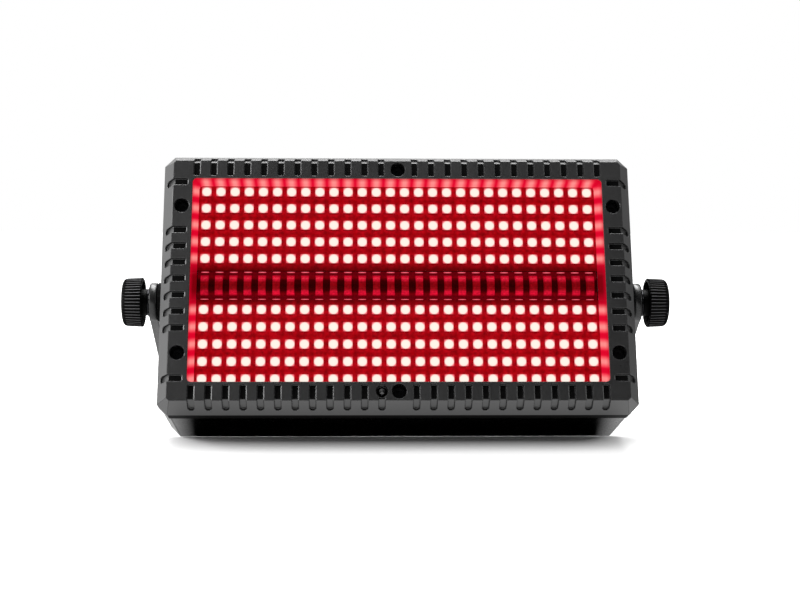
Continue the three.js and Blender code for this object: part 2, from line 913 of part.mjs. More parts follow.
// The cutters of the fan grille: slots that follow a circle.
function grilleSlotCutters() {
  return Array.from({ length: grilleSlots }, (_, i) => {
    const x = (i - (grilleSlots - 1) / 2) * grillePitch;
    const half = Math.sqrt(grilleRadius ** 2 - x ** 2);
    return block(
      about(fanX + x, grilleSlot / 2),
      about(fanY, half),
      [rearZ - overrun, rearInsideZ + overrun],
    );
  });
}

// Slots in both short walls, above and below the pivot.
function ventCutters() {
  const cutters = [];
  for (const sideY of [-1, 1]) {
    for (let i = 0; i < ventSlotCount; i += 1) {
      const z = -ventFrontDepth - i * ventSlotPitch;
      cutters.push(
        block(
          about(0, housingHalfX + overrun),
          about(sideY * ventOffsetY, ventSlotLength / 2),
          about(z - ventSlotPitch * ventSlotCount / 2, ventSlotWidth / 2),
        ),
      );
    }
  }
  return cutters;
}

function rearHousing() {
  const outer = prism(
    cutCornerOutline(housingHalfX, housingHalfY, rimCorner),
    rearZ,
    housingFrontZ,
  );
  const inner = prism(
    cutCornerOutline(housingHalfX - housingWall, housingHalfY - housingWall, rimCorner),
    rearInsideZ,
    housingFrontZ + overrun,
  );
  const shell = cut(outer, inner, ...ventCutters());
  const bosses = [-1, 1].map((side) =>
    rod(pivotBossRadius, insertInnerX, bossX, fineSides)
      .rotateY((side * Math.PI) / 2)
      .translate(0, 0, pivotZ),
  );
  const postOf = (height) => ([x, y]) =>
    rod(supplyPostRadius, rearInsideZ - fuse, rearInsideZ + height, postSides).translate(x, y, 0);
  const body = join(
    shell,
    ...bosses,
    ...bezelScrewPlaces.flatMap(screwColumn),
    ...supplyPostPlaces.map(postOf(supplyPost)),
    ...controlPostPlaces.map(postOf(controlStandoff)),
  );
  const bores = [-1, 1].map((side) =>
    rod(insertRadius + boreGap, insertInnerX - overrun, bossX + overrun, roundSides)
      .rotateY((side * Math.PI) / 2)
      .translate(0, 0, pivotZ),
  );
  const through = (shape, x, y) => shape.translate(x, y, 0);
  const wallZ = [rearZ - overrun, rearInsideZ + overrun];
  const screwBores = bezelScrewPlaces.map(([x, y]) =>
    rod(screwHole / 2, bossFrontZ - screwReach + overrun, bossFrontZ + overrun, smallSides)
      .translate(x, y, 0),
  );
  const supplyBores = supplyPostPlaces.map(([x, y]) =>
    rod(supplyScrewHole / 2, rearInsideZ + supplyPost - supplyScrewPilot, supplyBackZ, smallSides)
      .translate(x, y, 0),
  );
  const mains = roundOutline(
    mainsBodyWidth / 2 + boreGap,
    mainsBodyHeight / 2 + boreGap,
    windowCorner,
  );
  return cut(
    body,
    ...bores,
    ...screwBores,
    ...supplyBores,
    ...grilleSlotCutters(),
    ...fanScrewPlaces.map(([x, y]) =>
      through(rod(fanScrewHole / 2, ...wallZ, smallSides), x, y),
    ),
    ...buttonPlaces.map(([x, y]) =>
      through(rod(buttonRadius + boreGap, ...wallZ, smallSides), x, y),
    ),
    through(
      prism(roundOutline(displayWidth / 2, displayHeight / 2, windowCorner), ...wallZ),
      controlX,
      displayY,
    ),
    through(prism(mains, ...wallZ), inletX, socketY),
    through(prism(mains, ...wallZ), outletX, socketY),
    through(rod(fuseBodyRadius + boreGap, ...wallZ), fuseX, socketY),
    through(rod(dataBodyRadius + boreGap, ...wallZ, fineSides), dataInX, socketY),
    through(rod(dataBodyRadius + boreGap, ...wallZ, fineSides), dataOutX, socketY),
    through(rod(safetyShank + boreGap, ...wallZ, smallSides), 0, safetyY),
  );
}

// Electronics

// The power supply: a metal case with vent slots on a base plate, and a screw terminal block at one end.
function powerSupply() {
  const plate = block(
    about(supplyX, supplyWidth / 2),
    about(supplyY, supplyHeight / 2),
    [supplyBackZ, supplyFrontZ],
  );
  const caseTop = supplyBackZ + supplyTall;
  const body = block(
    about(supplyX, supplyCaseLength / 2),
    about(supplyY, supplyHeight / 2),
    [supplyBackZ, caseTop],
  );
  const slotRun = supplyCaseLength - supplySlotBorder * 2;
  const slots = Array.from({ length: supplySlots }, (_, i) => {
    const x = supplyX + (i / (supplySlots - 1) - 1 / 2) * slotRun;
    return block(
      about(x, supplySlotWidth / 2),
      about(supplyY, supplyHeight / 2 - supplySlotBorder),
      [caseTop - supplySlotDepth, caseTop + overrun],
    );
  });
  const terminalX = supplyX + supplyCaseLength / 2;
  const terminalTop = supplyFrontZ + terminalHeight;
  const terminals = block(
    [terminalX - fuse, terminalX + terminalWidth],
    about(supplyY, terminalLength / 2),
    [supplyFrontZ - fuse, terminalTop],
  );
  const bay = terminalLength / terminalRibs;
  const bays = Array.from({ length: terminalRibs }, (_, i) =>
    block(
      [terminalX + terminalRibWidth, terminalX + terminalWidth + overrun],
      about(supplyY + (i - (terminalRibs - 1) / 2) * bay, (bay - terminalRibWidth) / 2),
      [terminalTop - terminalRibDepth, terminalTop + overrun],
    ),
  );
  const holes = supplyPostPlaces.map(([x, y]) =>
    rod(supplyScrewHole / 2, supplyBackZ - overrun, supplyFrontZ + overrun, smallSides)
      .translate(x, y, 0),
  );
  return cut(join(plate, body, terminals), ...slots, ...bays, ...holes);
}

// The control board with the display block and one push switch under each button.
function controlBoard() {
  const board = block(
    about(controlX, controlWidth / 2),
    [controlLow, controlHigh],
    [controlBackZ, controlFrontZ],
  );
  const display = block(
    about(controlX, displayWidth / 2 + seatGap),
    about(displayY, displayHeight / 2 + seatGap),
    [controlBackZ - displayModuleHeight, controlBackZ + fuse],
  );
  const switchTop = buttonStemZ + buttonTravel + seatGap;
  const switches = buttonPlaces.map(([x, y]) =>
    block(about(x, switchSide / 2), about(y, switchSide / 2), [switchTop, controlBackZ + fuse]),
  );
  return join(board, display, ...switches);
}

const buttonFlangeZ = rearInsideZ + seatGap;
const buttonStemZ = buttonFlangeZ + buttonFlangeThickness + buttonStemLength;

function displayWindow() {
  return prism(
    roundOutline(displayWidth / 2 - boreGap, displayHeight / 2 - boreGap, windowCorner),
    rearZ + displayInset,
    rearZ + displayInset + displayThickness,
  ).translate(controlX, displayY, 0);
}

function menuButton([x, y]) {
  return turned([
    [0, rearZ - buttonRise],
    [buttonRadius - buttonRise / 4, rearZ - buttonRise],
    [buttonRadius, rearZ - buttonRise / 2],
    [buttonRadius, buttonFlangeZ],
    [buttonFlange, buttonFlangeZ],
    [buttonFlange, buttonFlangeZ + buttonFlangeThickness],
    [buttonStem, buttonFlangeZ + buttonFlangeThickness],
    [buttonStem, buttonStemZ],
    [0, buttonStemZ],
  ], smallSides).translate(x, y, 0);
}

// Cooling fan

const fanBackZ = rearInsideZ + seatGap;
const fanFrontZ = fanBackZ + fanDepth;

// The frame: a square duct, with spokes at its back that carry the motor cup.
function fanFrame() {
  const outline = roundOutline(fanSide / 2, fanSide / 2, fanCorner);
  const duct = cut(
    prism(outline, fanBackZ, fanFrontZ),
    rod(fanBore / 2, fanBackZ - overrun, fanFrontZ + overrun, fineSides),
  );
  const spokes = [0, Math.PI / 2].map((turn) =>
    block(
      about(0, fanBore / 2 + fuse),
      about(0, fanSpokeWidth / 2),
      [fanBackZ, fanBackZ + fanSpokeDepth],
    ).rotateZ(turn + Math.PI / 4),
  );
  const cup = rod(fanHub / 2, fanBackZ, fanBackZ + fanSpokeDepth);
  const spindle = rod(fanSpokeWidth / 2, fanBackZ, fanFrontZ - fanSpokeDepth, smallSides);
  const holes = fanScrewPlaces.map(([x, y]) =>
    rod(fanScrewHole / 2, fanBackZ - overrun, fanFrontZ + overrun, smallSides)
      .translate(x - fanX, y - fanY, 0),
  );
  return cut(join(duct, ...spokes, cup, spindle), ...holes);
}

// The rotor: a hub round the spindle, with blades set at an angle.
function fanRotor() {
  const low = fanBackZ + fanSpokeDepth + fanRotorGap;
  const high = fanFrontZ - fanRotorGap;
  const hub = rod(fanHub / 2, low, high);
  const boreTop = fanFrontZ - fanSpokeDepth + boreGap;
  const bore = rod(fanSpokeWidth / 2 + boreGap, low - overrun, boreTop, smallSides);
  const bladeHalf = ((high - low) * fanBladeHeightShare) / 2;
  const pitch = THREE.MathUtils.degToRad(fanBladePitchDegrees);
  const reach = [fanHub / 2 - fanBladeThickness, fanBladeTip / 2];
  const trim = rod(fanBladeTip / 2, low, high, fineSides);
  const blades = Array.from({ length: fanBlades }, (_, i) =>
    block(reach, about(0, fanBladeThickness / 2), about(0, bladeHalf / Math.cos(pitch)))
      .rotateX(pitch)
      .translate(0, 0, (low + high) / 2)
      .rotateZ((2 * Math.PI * i) / fanBlades),
  );
  return join(hub, join(...blades).intersect(solid(trim))).subtract(solid(bore));
}

// Sockets

const flangeFrontZ = rearZ - seatGap;
const flangeRearZ = flangeFrontZ - flangeThickness;

// The body and flange that the mains inlet and outlet share.
function mainsBody() {
  const flange = prism(
    roundOutline(mainsFlangeWidth / 2, mainsFlangeHeight / 2, windowCorner),
    flangeRearZ,
    flangeFrontZ,
  );
  const body = prism(
    roundOutline(mainsBodyWidth / 2, mainsBodyHeight / 2, windowCorner),
    flangeFrontZ - fuse,
    flangeFrontZ + mainsBodyDepth,
  );
  return join(flange, body);
}

// The outline of the mains plug: a rectangle with two corners cut.
function mainsOutline(shrink) {
  const halfX = mainsRecessWidth / 2 - shrink;
  const halfY = mainsRecessHeight / 2 - shrink;
  return [
    new THREE.Vector2(-halfX, -halfY),
    new THREE.Vector2(halfX, -halfY),
    new THREE.Vector2(halfX, halfY - mainsRecessCorner),
    new THREE.Vector2(halfX - mainsRecessCorner, halfY),
    new THREE.Vector2(-halfX + mainsRecessCorner, halfY),
    new THREE.Vector2(-halfX, halfY - mainsRecessCorner),
  ];
}

const bladePlaces = [
  [-bladePitch, -bladeDrop],
  [bladePitch, -bladeDrop],
  [0, bladeDrop],
];

function powerInlet() {
  const floorZ = flangeRearZ + mainsRecessDepth;
  const recess = prism(mainsOutline(0), flangeRearZ - overrun, floorZ);
  const blades = bladePlaces.map(([x, y]) =>
    block(
      about(x, bladeThickness / 2),
      about(y, bladeWidth / 2),
      [floorZ - bladeLength, floorZ + fuse],
    ),
  );
  return join(cut(mainsBody(), recess), ...blades).translate(inletX, socketY, 0);
}

function powerOutlet() {
  const floorZ = flangeRearZ + mainsRecessDepth;
  const moat = cut(
    prism(mainsOutline(0), flangeRearZ - overrun, floorZ),
    prism(mainsOutline(plugWallGap), flangeRearZ - overrun, floorZ + overrun),
  );
  const slots = bladePlaces.map(([x, y]) =>
    block(
      about(x, bladeThickness / 2 + boreGap),
      about(y, bladeWidth / 2 + boreGap),
      [flangeRearZ - overrun, flangeRearZ + bladeLength],
    ),
  );
  return cut(mainsBody(), moat, ...slots).translate(outletX, socketY, 0);
}

function fuseHolder() {
  const depth = flangeFrontZ + fuseBodyDepth;
  const body = turned([
    [0, flangeRearZ],
    [fuseFlangeRadius, flangeRearZ],
    [fuseFlangeRadius, flangeFrontZ],
    [fuseBodyRadius, flangeFrontZ],
    [fuseBodyRadius, depth],
    [0, depth],
  ]);
  const boreEnd = flangeRearZ + fuseCapRoot + seatGap;
  const bore = rod(fuseCapRootRadius + boreGap, flangeRearZ - overrun, boreEnd, smallSides);
  return cut(body, bore).translate(fuseX, socketY, 0);
}

// The fuse cap: a slotted head on a root that goes into the holder.
function fuseCap() {
  const seat = flangeRearZ - seatGap;
  const top = seat - fuseCapHeight;
  const body = turned([
    [0, top],
    [fuseCapRadius, top],
    [fuseCapRadius, seat],
    [fuseCapRootRadius, seat],
    [fuseCapRootRadius, flangeRearZ + fuseCapRoot],
    [0, flangeRearZ + fuseCapRoot],
  ]);
  const slot = block(
    about(0, fuseCapRadius + overrun),
    about(0, fuseSlotWidth / 2),
    [top - overrun, top + fuseSlotDepth],
  );
  return cut(body, slot).translate(fuseX, socketY, 0);
}

// The flange and shell that both data sockets share.
function dataBody() {
  const flange = prism(
    roundOutline(dataFlangeWidth / 2, dataFlangeHeight / 2, dataFlangeCorner),
    flangeRearZ,
    flangeFrontZ,
  );
  const shellEnd = flangeFrontZ + dataBodyDepth;
  return join(flange, rod(dataBodyRadius, flangeFrontZ - fuse, shellEnd, fineSides));
}

function dataInlet() {
  const floorZ = flangeRearZ + dataRecessDepth;
  const recess = rod(dataRecessRadius, flangeRearZ - overrun, floorZ, fineSides);
  const pins = dataPinAngles.map((degrees) => {
    const angle = THREE.MathUtils.degToRad(degrees);
    return rod(dataPinRadius, floorZ - dataPinLength, floorZ + fuse, smallSides)
      .translate(dataPinCircle * Math.cos(angle), dataPinCircle * Math.sin(angle), 0);
  });
  return join(cut(dataBody(), recess), ...pins).translate(dataInX, socketY, 0);
}

function dataOutlet() {
  const topZ = flangeRearZ - dataFemaleRise;
  const plug = rod(dataFemaleRadius, topZ, flangeFrontZ, fineSides);
  const holes = dataPinAngles.map((degrees) => {
    const angle = THREE.MathUtils.degToRad(degrees);
    return rod(dataHoleRadius, topZ - overrun, flangeRearZ + dataPinLength, smallSides)
      .translate(dataPinCircle * Math.cos(angle), dataPinCircle * Math.sin(angle), 0);
  });
  return cut(join(dataBody(), plug), ...holes).translate(dataOutX, socketY, 0);
}

// The safety eye: a ring on a collar, with a shank through the rear wall.
function safetyEye() {
  const collarZ = rearZ - seatGap;
  const stem = turned([
    [0, collarZ - safetyCollarHeight],
    [safetyCollar, collarZ - safetyCollarHeight],
    [safetyCollar, collarZ],
    [safetyShank, collarZ],
    [safetyShank, collarZ + safetyShankLength],
    [0, collarZ + safetyShankLength],
  ], smallSides);
  const ring = new THREE.TorusGeometry(safetyRing, safetyWire, smallSides / 2, roundSides)
    .rotateY(Math.PI / 2)
    .translate(0, 0, collarZ - safetyCollarHeight - safetyRing - safetyWire / 2);
  return join(stem, ring).translate(0, safetyY, 0);
}

// Pivot parts, drawn along Z and then turned to their side of the head

function onSide(shape, side) {
  return shape.rotateY((side * Math.PI) / 2).translate(0, 0, pivotZ);
}

// A ring between two heights.
function ring(outerRadius, innerRadius, low, high, sides = fineSides) {
  return turned([
    [innerRadius, low],
    [outerRadius, low],
    [outerRadius, high],
    [innerRadius, high],
    [innerRadius, low],
  ], sides);
}

function knobOutline(radius) {
  return Array.from({ length: knobRibs * 2 }, (_, i) => {
    const angle = (Math.PI * i) / knobRibs;
    const reach = i % 2 ? radius - knobRibDepth : radius;
    return new THREE.Vector2(reach * Math.cos(angle), reach * Math.sin(angle));
  });
}

// The clamp knob: a ribbed cap with a hollow back, and a hub round the stud.
function clampKnob() {
  const midRadius = (knobRadius + knobFaceRadius) / 2 + knobRibDepth / 2;
  const cap = loft([
    { outline: knobOutline(knobRadius), height: knobX },
    { outline: knobOutline(knobRadius), height: knobOuterX - knobEdgeRound },
    { outline: knobOutline(midRadius), height: knobOuterX - knobEdgeStep },
    { outline: knobOutline(knobFaceRadius), height: knobOuterX },
  ]);
  const hollow = ring(
    knobRadius - knobWall,
    knobHubRadius,
    knobX - overrun,
    knobX + knobHollow,
    roundSides,
  );
  const hub = rod(knobHubRadius, hubX, knobX + knobHollow + fuse);
  const bore = rod(studRadius + boreGap, hubX - overrun, knobOuterX - knobFaceWall);
  return cut(join(cut(cap, hollow), hub), bore);
}

function knobStud() {
  return rod(studRadius, insertInnerX + overrun, knobOuterX - knobFaceWall - seatGap);
}

// Yoke, drawn with the pivot at the origin and the crossbar at height yokeReach

function yokeStrap() {
  const top = -eyeRadius - overrun;
  const innerX = strapInnerX;
  const innerEnd = yokeReach - strapThickness;
  const innerBend = yokeBend - strapThickness;
  const profile = new THREE.Shape();
  profile.moveTo(strapOuterX, top);
  profile.lineTo(strapOuterX, yokeReach - yokeBend);
  profile.absarc(strapOuterX - yokeBend, yokeReach - yokeBend, yokeBend, 0, Math.PI / 2, false);
  profile.lineTo(-strapOuterX + yokeBend, yokeReach);
  profile.absarc(-strapOuterX + yokeBend, yokeReach - yokeBend, yokeBend, Math.PI / 2, Math.PI, false);
  profile.lineTo(-strapOuterX, top);
  profile.lineTo(-innerX, top);
  profile.lineTo(-innerX, innerEnd - innerBend);
  profile.absarc(-innerX + innerBend, innerEnd - innerBend, innerBend, Math.PI, Math.PI / 2, true);
  profile.lineTo(innerX - innerBend, innerEnd);
  profile.absarc(innerX - innerBend, innerEnd - innerBend, innerBend, Math.PI / 2, 0, true);
  profile.lineTo(innerX, top);
  profile.closePath();
  const strap = new THREE.ExtrudeGeometry(profile, {
    depth: eyeRadius * 2,
    bevelEnabled: false,
    curveSegments: cornerSteps,
  });
  strap.translate(0, 0, -eyeRadius).rotateX(Math.PI / 2);
  const across = (shape) => shape.rotateY(-Math.PI / 2);
  const span = about(0, strapOuterX + overrun);
  const sides = join(
    across(rod(eyeRadius, ...span, fineSides)),
    across(block([0, yokeReach + overrun], about(0, strapWidth / 2), span)),
  );
  const holeZ = [yokeReach - strapThickness - overrun, yokeReach + overrun];
  const holes = [
    across(rod(eyeHole / 2, ...span)),
    rod(clampHole / 2, ...holeZ),
    rod(sideHole / 2, ...holeZ).translate(sideHoleOffset, 0, 0),
    rod(sideHole / 2, ...holeZ).translate(-sideHoleOffset, 0, 0),
  ];
  return cut(solid(strap).intersect(sides), ...holes);
}

// The head, with the pivot moved to the origin and the face leaned back
const lean = THREE.MathUtils.degToRad(leanDegrees);
const head = new THREE.Group();
head.rotation.x = Math.PI / 2 - lean;
head.position.set(0, 0, -pivotZ).applyEuler(head.rotation);

piece("front_bezel", "bezel", frontBezel(), head);
piece("window_frame", "frame", windowFrame(), head);
piece("upper_led_board", "board", ledBoard(1), head);
piece("lower_led_board", "board", ledBoard(-1), head);
piece("strobe_led_board", "circuit", strobeBoard(), head);
piece("strobe_lens", "lens", strobeLens(), head);
piece("heat_sink", "aluminium", heatSink(), head);
piece("bezel_gasket", "rubber", gasket(), head);
piece("rear_housing", "housing", rearHousing(), head);
piece("infrared_receiver", "glass", infraredReceiver(), head);
piece("power_supply", "aluminium", powerSupply(), head);
piece("control_board", "circuit", controlBoard(), head);
piece("display_window", "glass", displayWindow(), head);
piece("fan_frame", "plastic", solid(fanFrame()).translate([fanX, fanY, 0]), head);
piece("fan_rotor", "plastic", solid(fanRotor()).translate([fanX, fanY, 0]), head);
piece("power_inlet", "plastic", powerInlet(), head);
piece("power_outlet", "plastic", powerOutlet(), head);
piece("fuse_holder", "plastic", fuseHolder(), head);
piece("fuse_cap", "plastic", fuseCap(), head);
piece("data_inlet", "blackSteel", dataInlet(), head);
piece("data_outlet", "blackSteel", dataOutlet(), head);
piece("safety_eye", "steel", safetyEye(), head);

buttonPlaces.forEach((place, i) => {
  piece(`menu_button_${i + 1}`, "button", menuButton(place), head);
});

const bezelScrewSeatZ = counterboreZ + seatGap;
const bezelScrewLength = bezelScrewSeatZ - (bossFrontZ - screwReach) - overrun * 2;
bezelScrewPlaces.forEach(([x, y], i) => {
  const made = piece(
    `bezel_screw_${i + 1}`,
    "blackSteel",
    screw(screwShank, screwHead, screwHeadHeight, bezelScrewLength),
    head,
  );
  made.position.set(x, y, bezelScrewSeatZ);
});

fanScrewPlaces.forEach(([x, y], i) => {
  const made = piece(
    `fan_screw_${i + 1}`,
    "blackSteel",
    screw(fanScrewShank, fanScrewHead, fanScrewHeadHeight, fanScrewLength),
    head,
  );
  made.rotation.x = Math.PI;
  made.position.set(x, y, rearZ - seatGap);
});

supplyPostPlaces.forEach(([x, y], i) => {
  const made = piece(
    `supply_screw_${i + 1}`,
    "steel",
    screw(supplyScrewShank, supplyScrewHead, supplyScrewHeadHeight, supplyScrewLength),
    head,
  );
  made.position.set(x, y, supplyFrontZ + seatGap);
});

for (const [name, side] of [["left", -1], ["right", 1]]) {
  const insert = ring(insertRadius, studRadius + boreGap, insertInnerX, insertOuterX, roundSides);
  piece(`${name}_pivot_insert`, "brass", onSide(insert, side), head);
  const disc = ring(discRadius, studRadius + boreGap, discX, discX + discThickness, roundSides);
  piece(`${name}_friction_disc`, "rubber", onSide(disc, side), head);
  const washerEnd = washerX + washerThickness;
  const washer = ring(washerRadius, studRadius + boreGap, washerX, washerEnd, roundSides);
  piece(`${name}_knob_washer`, "blackSteel", onSide(washer, side), head);
  piece(`${name}_knob_stud`, "steel", onSide(knobStud(), side), head);
  const knob = piece(`${name}_knob`, "knob", clampKnob(), head);
  knob.rotation.y = (side * Math.PI) / 2;
  knob.position.z = pivotZ;
}

// The yoke, swung down until the lower edge of its crossbar meets the floor that the head stands on
const lowestY = housingHalfY * Math.cos(lean);
const lowestZ = (pivotZ - rearZ) * Math.sin(lean);
const pivotHeight = lowestY + lowestZ;
const strapCorner = Math.hypot(yokeReach, strapWidth / 2);
const yokeDrop = Math.asin(pivotHeight / strapCorner) - Math.atan2(strapWidth / 2, yokeReach);
const yoke = new THREE.Group();
yoke.rotation.x = -Math.PI / 2 - yokeDrop;
piece("yoke", "strap", yokeStrap(), yoke);

// The whole light, moved so that the middle of its base is the origin
const strobe = new THREE.Group();
strobe.add(head, yoke);
strobe.updateMatrixWorld(true);
const bounds = new THREE.Box3().setFromObject(strobe, true);
const middle = bounds.getCenter(new THREE.Vector3());
strobe.position.set(-middle.x, -middle.y, -bounds.min.z);

const light = new THREE.Group();
light.add(strobe);

export default light;
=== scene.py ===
# A compact LED strobe light on its yoke, standing tilted back with its red panels lit.
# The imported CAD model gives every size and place. This script adds fine surfaces and finishes.
import json
import math

import bmesh
import bpy
import numpy as np
from mathutils import Matrix, Vector


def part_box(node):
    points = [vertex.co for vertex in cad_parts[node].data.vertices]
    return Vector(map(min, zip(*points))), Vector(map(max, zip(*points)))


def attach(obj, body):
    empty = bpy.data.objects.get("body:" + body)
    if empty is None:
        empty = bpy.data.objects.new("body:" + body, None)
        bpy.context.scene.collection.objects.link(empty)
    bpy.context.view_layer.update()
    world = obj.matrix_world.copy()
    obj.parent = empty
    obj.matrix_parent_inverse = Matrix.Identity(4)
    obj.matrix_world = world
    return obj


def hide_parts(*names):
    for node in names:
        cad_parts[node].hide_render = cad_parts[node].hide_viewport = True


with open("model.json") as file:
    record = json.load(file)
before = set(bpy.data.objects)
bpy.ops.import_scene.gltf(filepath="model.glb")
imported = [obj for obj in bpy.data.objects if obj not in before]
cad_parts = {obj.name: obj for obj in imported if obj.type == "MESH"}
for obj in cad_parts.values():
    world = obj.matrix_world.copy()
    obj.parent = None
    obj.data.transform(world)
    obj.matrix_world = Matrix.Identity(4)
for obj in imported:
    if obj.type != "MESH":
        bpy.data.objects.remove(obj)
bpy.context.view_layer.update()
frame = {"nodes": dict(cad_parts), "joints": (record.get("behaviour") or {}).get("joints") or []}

mm = 0.001
black = (0, 0, 0, 1)
white = (1, 1, 1, 1)


# The head's own frame: X right, Y up the face and Z out of it, in millimetres, zero at the LED tops


def read_all(items, value, width, kind=float):
    """One value of every item of a mesh, as an array with a row for each item."""
    flat = np.empty(len(items) * width, kind)
    items.foreach_get(value, flat)
    return flat.reshape(-1, width)


def node_points(node):
    """All corners of a CAD node, in the row frame in metres."""
    return read_all(frame["nodes"][node].data.vertices, "co", 3)


joints = {joint["name"]: joint for joint in frame["joints"]}
pivot = np.array(joints["head_tilt"]["pos_m"])
face_out = np.array(joints["fan_spin"]["axis"])
face_out = face_out / np.linalg.norm(face_out)
face_right = np.array((1.0, 0.0, 0.0))
face_up = np.cross(face_out, face_right)
head_axes = np.stack([face_right, face_up, face_out])
led_height = ((node_points("upper_led_board") - pivot) @ face_out).max() / mm


def from_head(points):
    """Head millimetres to row metres: the pivot plus each coordinate along its axis."""
    lifted = np.asarray(points, float) + (0, 0, led_height)
    return pivot + (lifted * mm) @ head_axes


def to_head(points):
    """Row metres to head millimetres."""
    return (np.asarray(points) - pivot) @ head_axes.T / mm - (0, 0, led_height)


def head_span(node):
    """The lowest and highest corner of a CAD node in head millimetres."""
    points = to_head(node_points(node))
    return points.min(axis=0), points.max(axis=0)


def knob_ends(node):
    """How far from the middle a knob begins and ends, in millimetres."""
    return sorted(np.abs(np.array(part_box(node)))[:, 0] / mm)


# The LED field
led_pitch = 7.5
led_columns = 28
led_rows = 5
row_pitch = 9.28
inner_row = 13.88
led_side = 5.0
package_height = 1.6
window_radius = 2.45
window_floor_radius = 2.32
window_depth = 0.12
package_sides = 16
package_sink = 0.1
board_corner = 1.0
board_border = 0.8
board_gap = 0.1
column_x = (np.arange(led_columns) - (led_columns - 1) / 2) * led_pitch

# The strobe lens strip
ridge_foot_width = 4.7
ridge_crest_width = 3.6
ridge_rise = 6.0
least_rise = 0.05
ridge_half_length = 5.7
ridge_edge = 0.3
ridge_sink = 0.3
ridge_crown = 0.12
ridge_rows = 25
lens_foot = -3.7
lens_back = -4.2
lens_corner = 0.5
lens_half_width = 8.0
lip_length = 4.2
lip_width = 0.5
lip_rise = 0.5
lip_inset = 0.35
lip_lift = 0.02
lip_steps = 7
ridge_shifts = np.stack([column_x, 0 * column_x, 0 * column_x], axis=-1)

# The bezel and its window
bezel_high = head_span("front_bezel")[1]
face_half = (117.8, 64.5)
window_half = (107.95, 55.1)
window_top = bezel_high[2] - 0.35
groove_reach = 3.5
face_margin = 0.2
side_wall = 105.0

# Where the painted red light and shade change on each lit face, in millimetres from where it starts to
# where it ends
package_glow = (2.35, 3.5)
board_glow = (2.5, 5.6)
board_shade = (8.4, 14.0)
patch_glow = (0.6, 3.9)
wall_shade = (4.0, 14.0)
wall_top = (5.0, 9.0)
lip_glow = (0.5, 2.4)
lens_ends = (70.0, 105.0)
ridge_base = (lens_foot + 0.1, lens_foot + 1.1)
ridge_top = (ridge_crest_width / 2 + 0.35, ridge_crest_width / 2 - 0.15)

# How far the painted mirror images of the rows slide down a wall, and the painted light on the strip moves
# up it, with height
wall_lean = 0.286
view_lean = 0.287
view_centre = 0.86

# Clamp knobs
knob_ribs = 46
rib_samples = 8
rib_depth = 0.6
rib_start = 0.6
rib_end = 2.6
rib_flat = 0.85
rib_steepness = 1.6
# The painted highlight on the rib crests: its band as a share of the rib depth, and where it is full, in
# millimetres below the top
crest_highlight_band = 0.35
crest_highlight_margin = 0.02
knob_radius = 13.4
knob_taper = 0.35
hub_length = 2.4
hub_radius = 7.2
hollow_depth = 6.0
hollow_radius = 11.7
hollow_edge = 0.4
stud_bore = 4.3
bore_end = 3.0
back_edge = 0.3
dish_radius = 9.7
dish_depth = 0.6
knob_inner, knob_outer = knob_ends("right_knob")
knob_slope = (knob_inner + hub_length + rib_start, knob_outer - rib_end)

# Widths of the rounded edges
bezel_edge = 0.28
housing_edge = 0.5
socket_edge = 0.4
yoke_edge = 1.1
small_edge = 0.15
plate_edge = 0.1
edge_room = 0.38

# Limits for merging and for telling an edge from a flat place
merge_distance = 0.005
sliver_distance = 0.02
flat_angle = math.radians(0.6)
sharp_angle = math.radians(34)

# A piece's finishes are numbered: first its own, then its edges' painted highlight, and these two on the
# bezel alone: the grooves' painted shade and the lip's painted shade
edge_highlight_finish = 1
groove_shade_finish = 2
lip_shade_finish = 3


# Mesh making


def add_piece(name, points, faces, body, materials, kinds=None):
    """A closed mesh from row-frame points in metres. Doubles are merged and faces turned outwards.
    Kinds are the numbers of the faces' materials."""
    mesh = bpy.data.meshes.new(name)
    mesh.from_pydata(np.asarray(points).reshape(-1, 3).tolist(), [], faces)
    for material in materials:
        mesh.materials.append(material)
    if kinds is not None:
        mesh.polygons.foreach_set("material_index", np.asarray(kinds, np.int32))
    work = bmesh.new()
    work.from_mesh(mesh)
    bmesh.ops.remove_doubles(work, verts=work.verts, dist=mm * merge_distance)
    bmesh.ops.recalc_face_normals(work, faces=work.faces)
    work.to_mesh(mesh)
    work.free()
    mesh.shade_smooth()
    mesh.set_sharp_from_angle(angle=sharp_angle)
    piece = bpy.data.objects.new(name, mesh)
    bpy.context.scene.collection.objects.link(piece)
    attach(piece, body)
    return piece


def full_turn(steps):
    """The angles of equal steps round a circle."""
    return np.arange(steps) * 2 * math.pi / steps


def repeated(points, faces, shifts):
    """One shape copied to many places: its points plus each shift, and its faces counted on."""
    copies = (points[None] + shifts[:, None]).reshape(-1, 3)
    counted = [
        [corner + k * len(points) for corner in face] for k in range(len(shifts)) for face in faces
    ]
    return copies, counted


def closed_loft(rings):
    """A skin through rings of equal counts [ring, point, 3], with a flat face at each end. Each of its
    four-sided faces joins two neighbours of one ring to the same two of the next."""
    rows, columns = rings.shape[:2]
    row, column = np.meshgrid(np.arange(rows - 1), np.arange(columns), indexing="ij")
    following = (column + 1) % columns
    corners = (
        row * columns + column,
        row * columns + following,
        (row + 1) * columns + following,
        (row + 1) * columns + column,
    )
    faces = np.stack(corners, axis=-1).reshape(-1, 4).tolist()
    first = list(range(columns))
    last = list(range((rows - 1) * columns, rows * columns))
    return rings.reshape(-1, 3), faces + [first[::-1], last]


def round_rectangle(half_x, half_y, radius, steps=5):
    """The outline of a rectangle with a quarter of a circle at each corner, anticlockwise."""
    turns = np.linspace(0, math.pi / 2, steps + 1)
    outline = []
    for quarter, (x, y) in enumerate(((1, 1), (-1, 1), (-1, -1), (1, -1))):
        angle = turns + quarter * math.pi / 2
        across = x * (half_x - radius) + radius * np.cos(angle)
        up = y * (half_y - radius) + radius * np.sin(angle)
        outline.append(np.stack([across, up], axis=-1))
    return np.concatenate(outline)


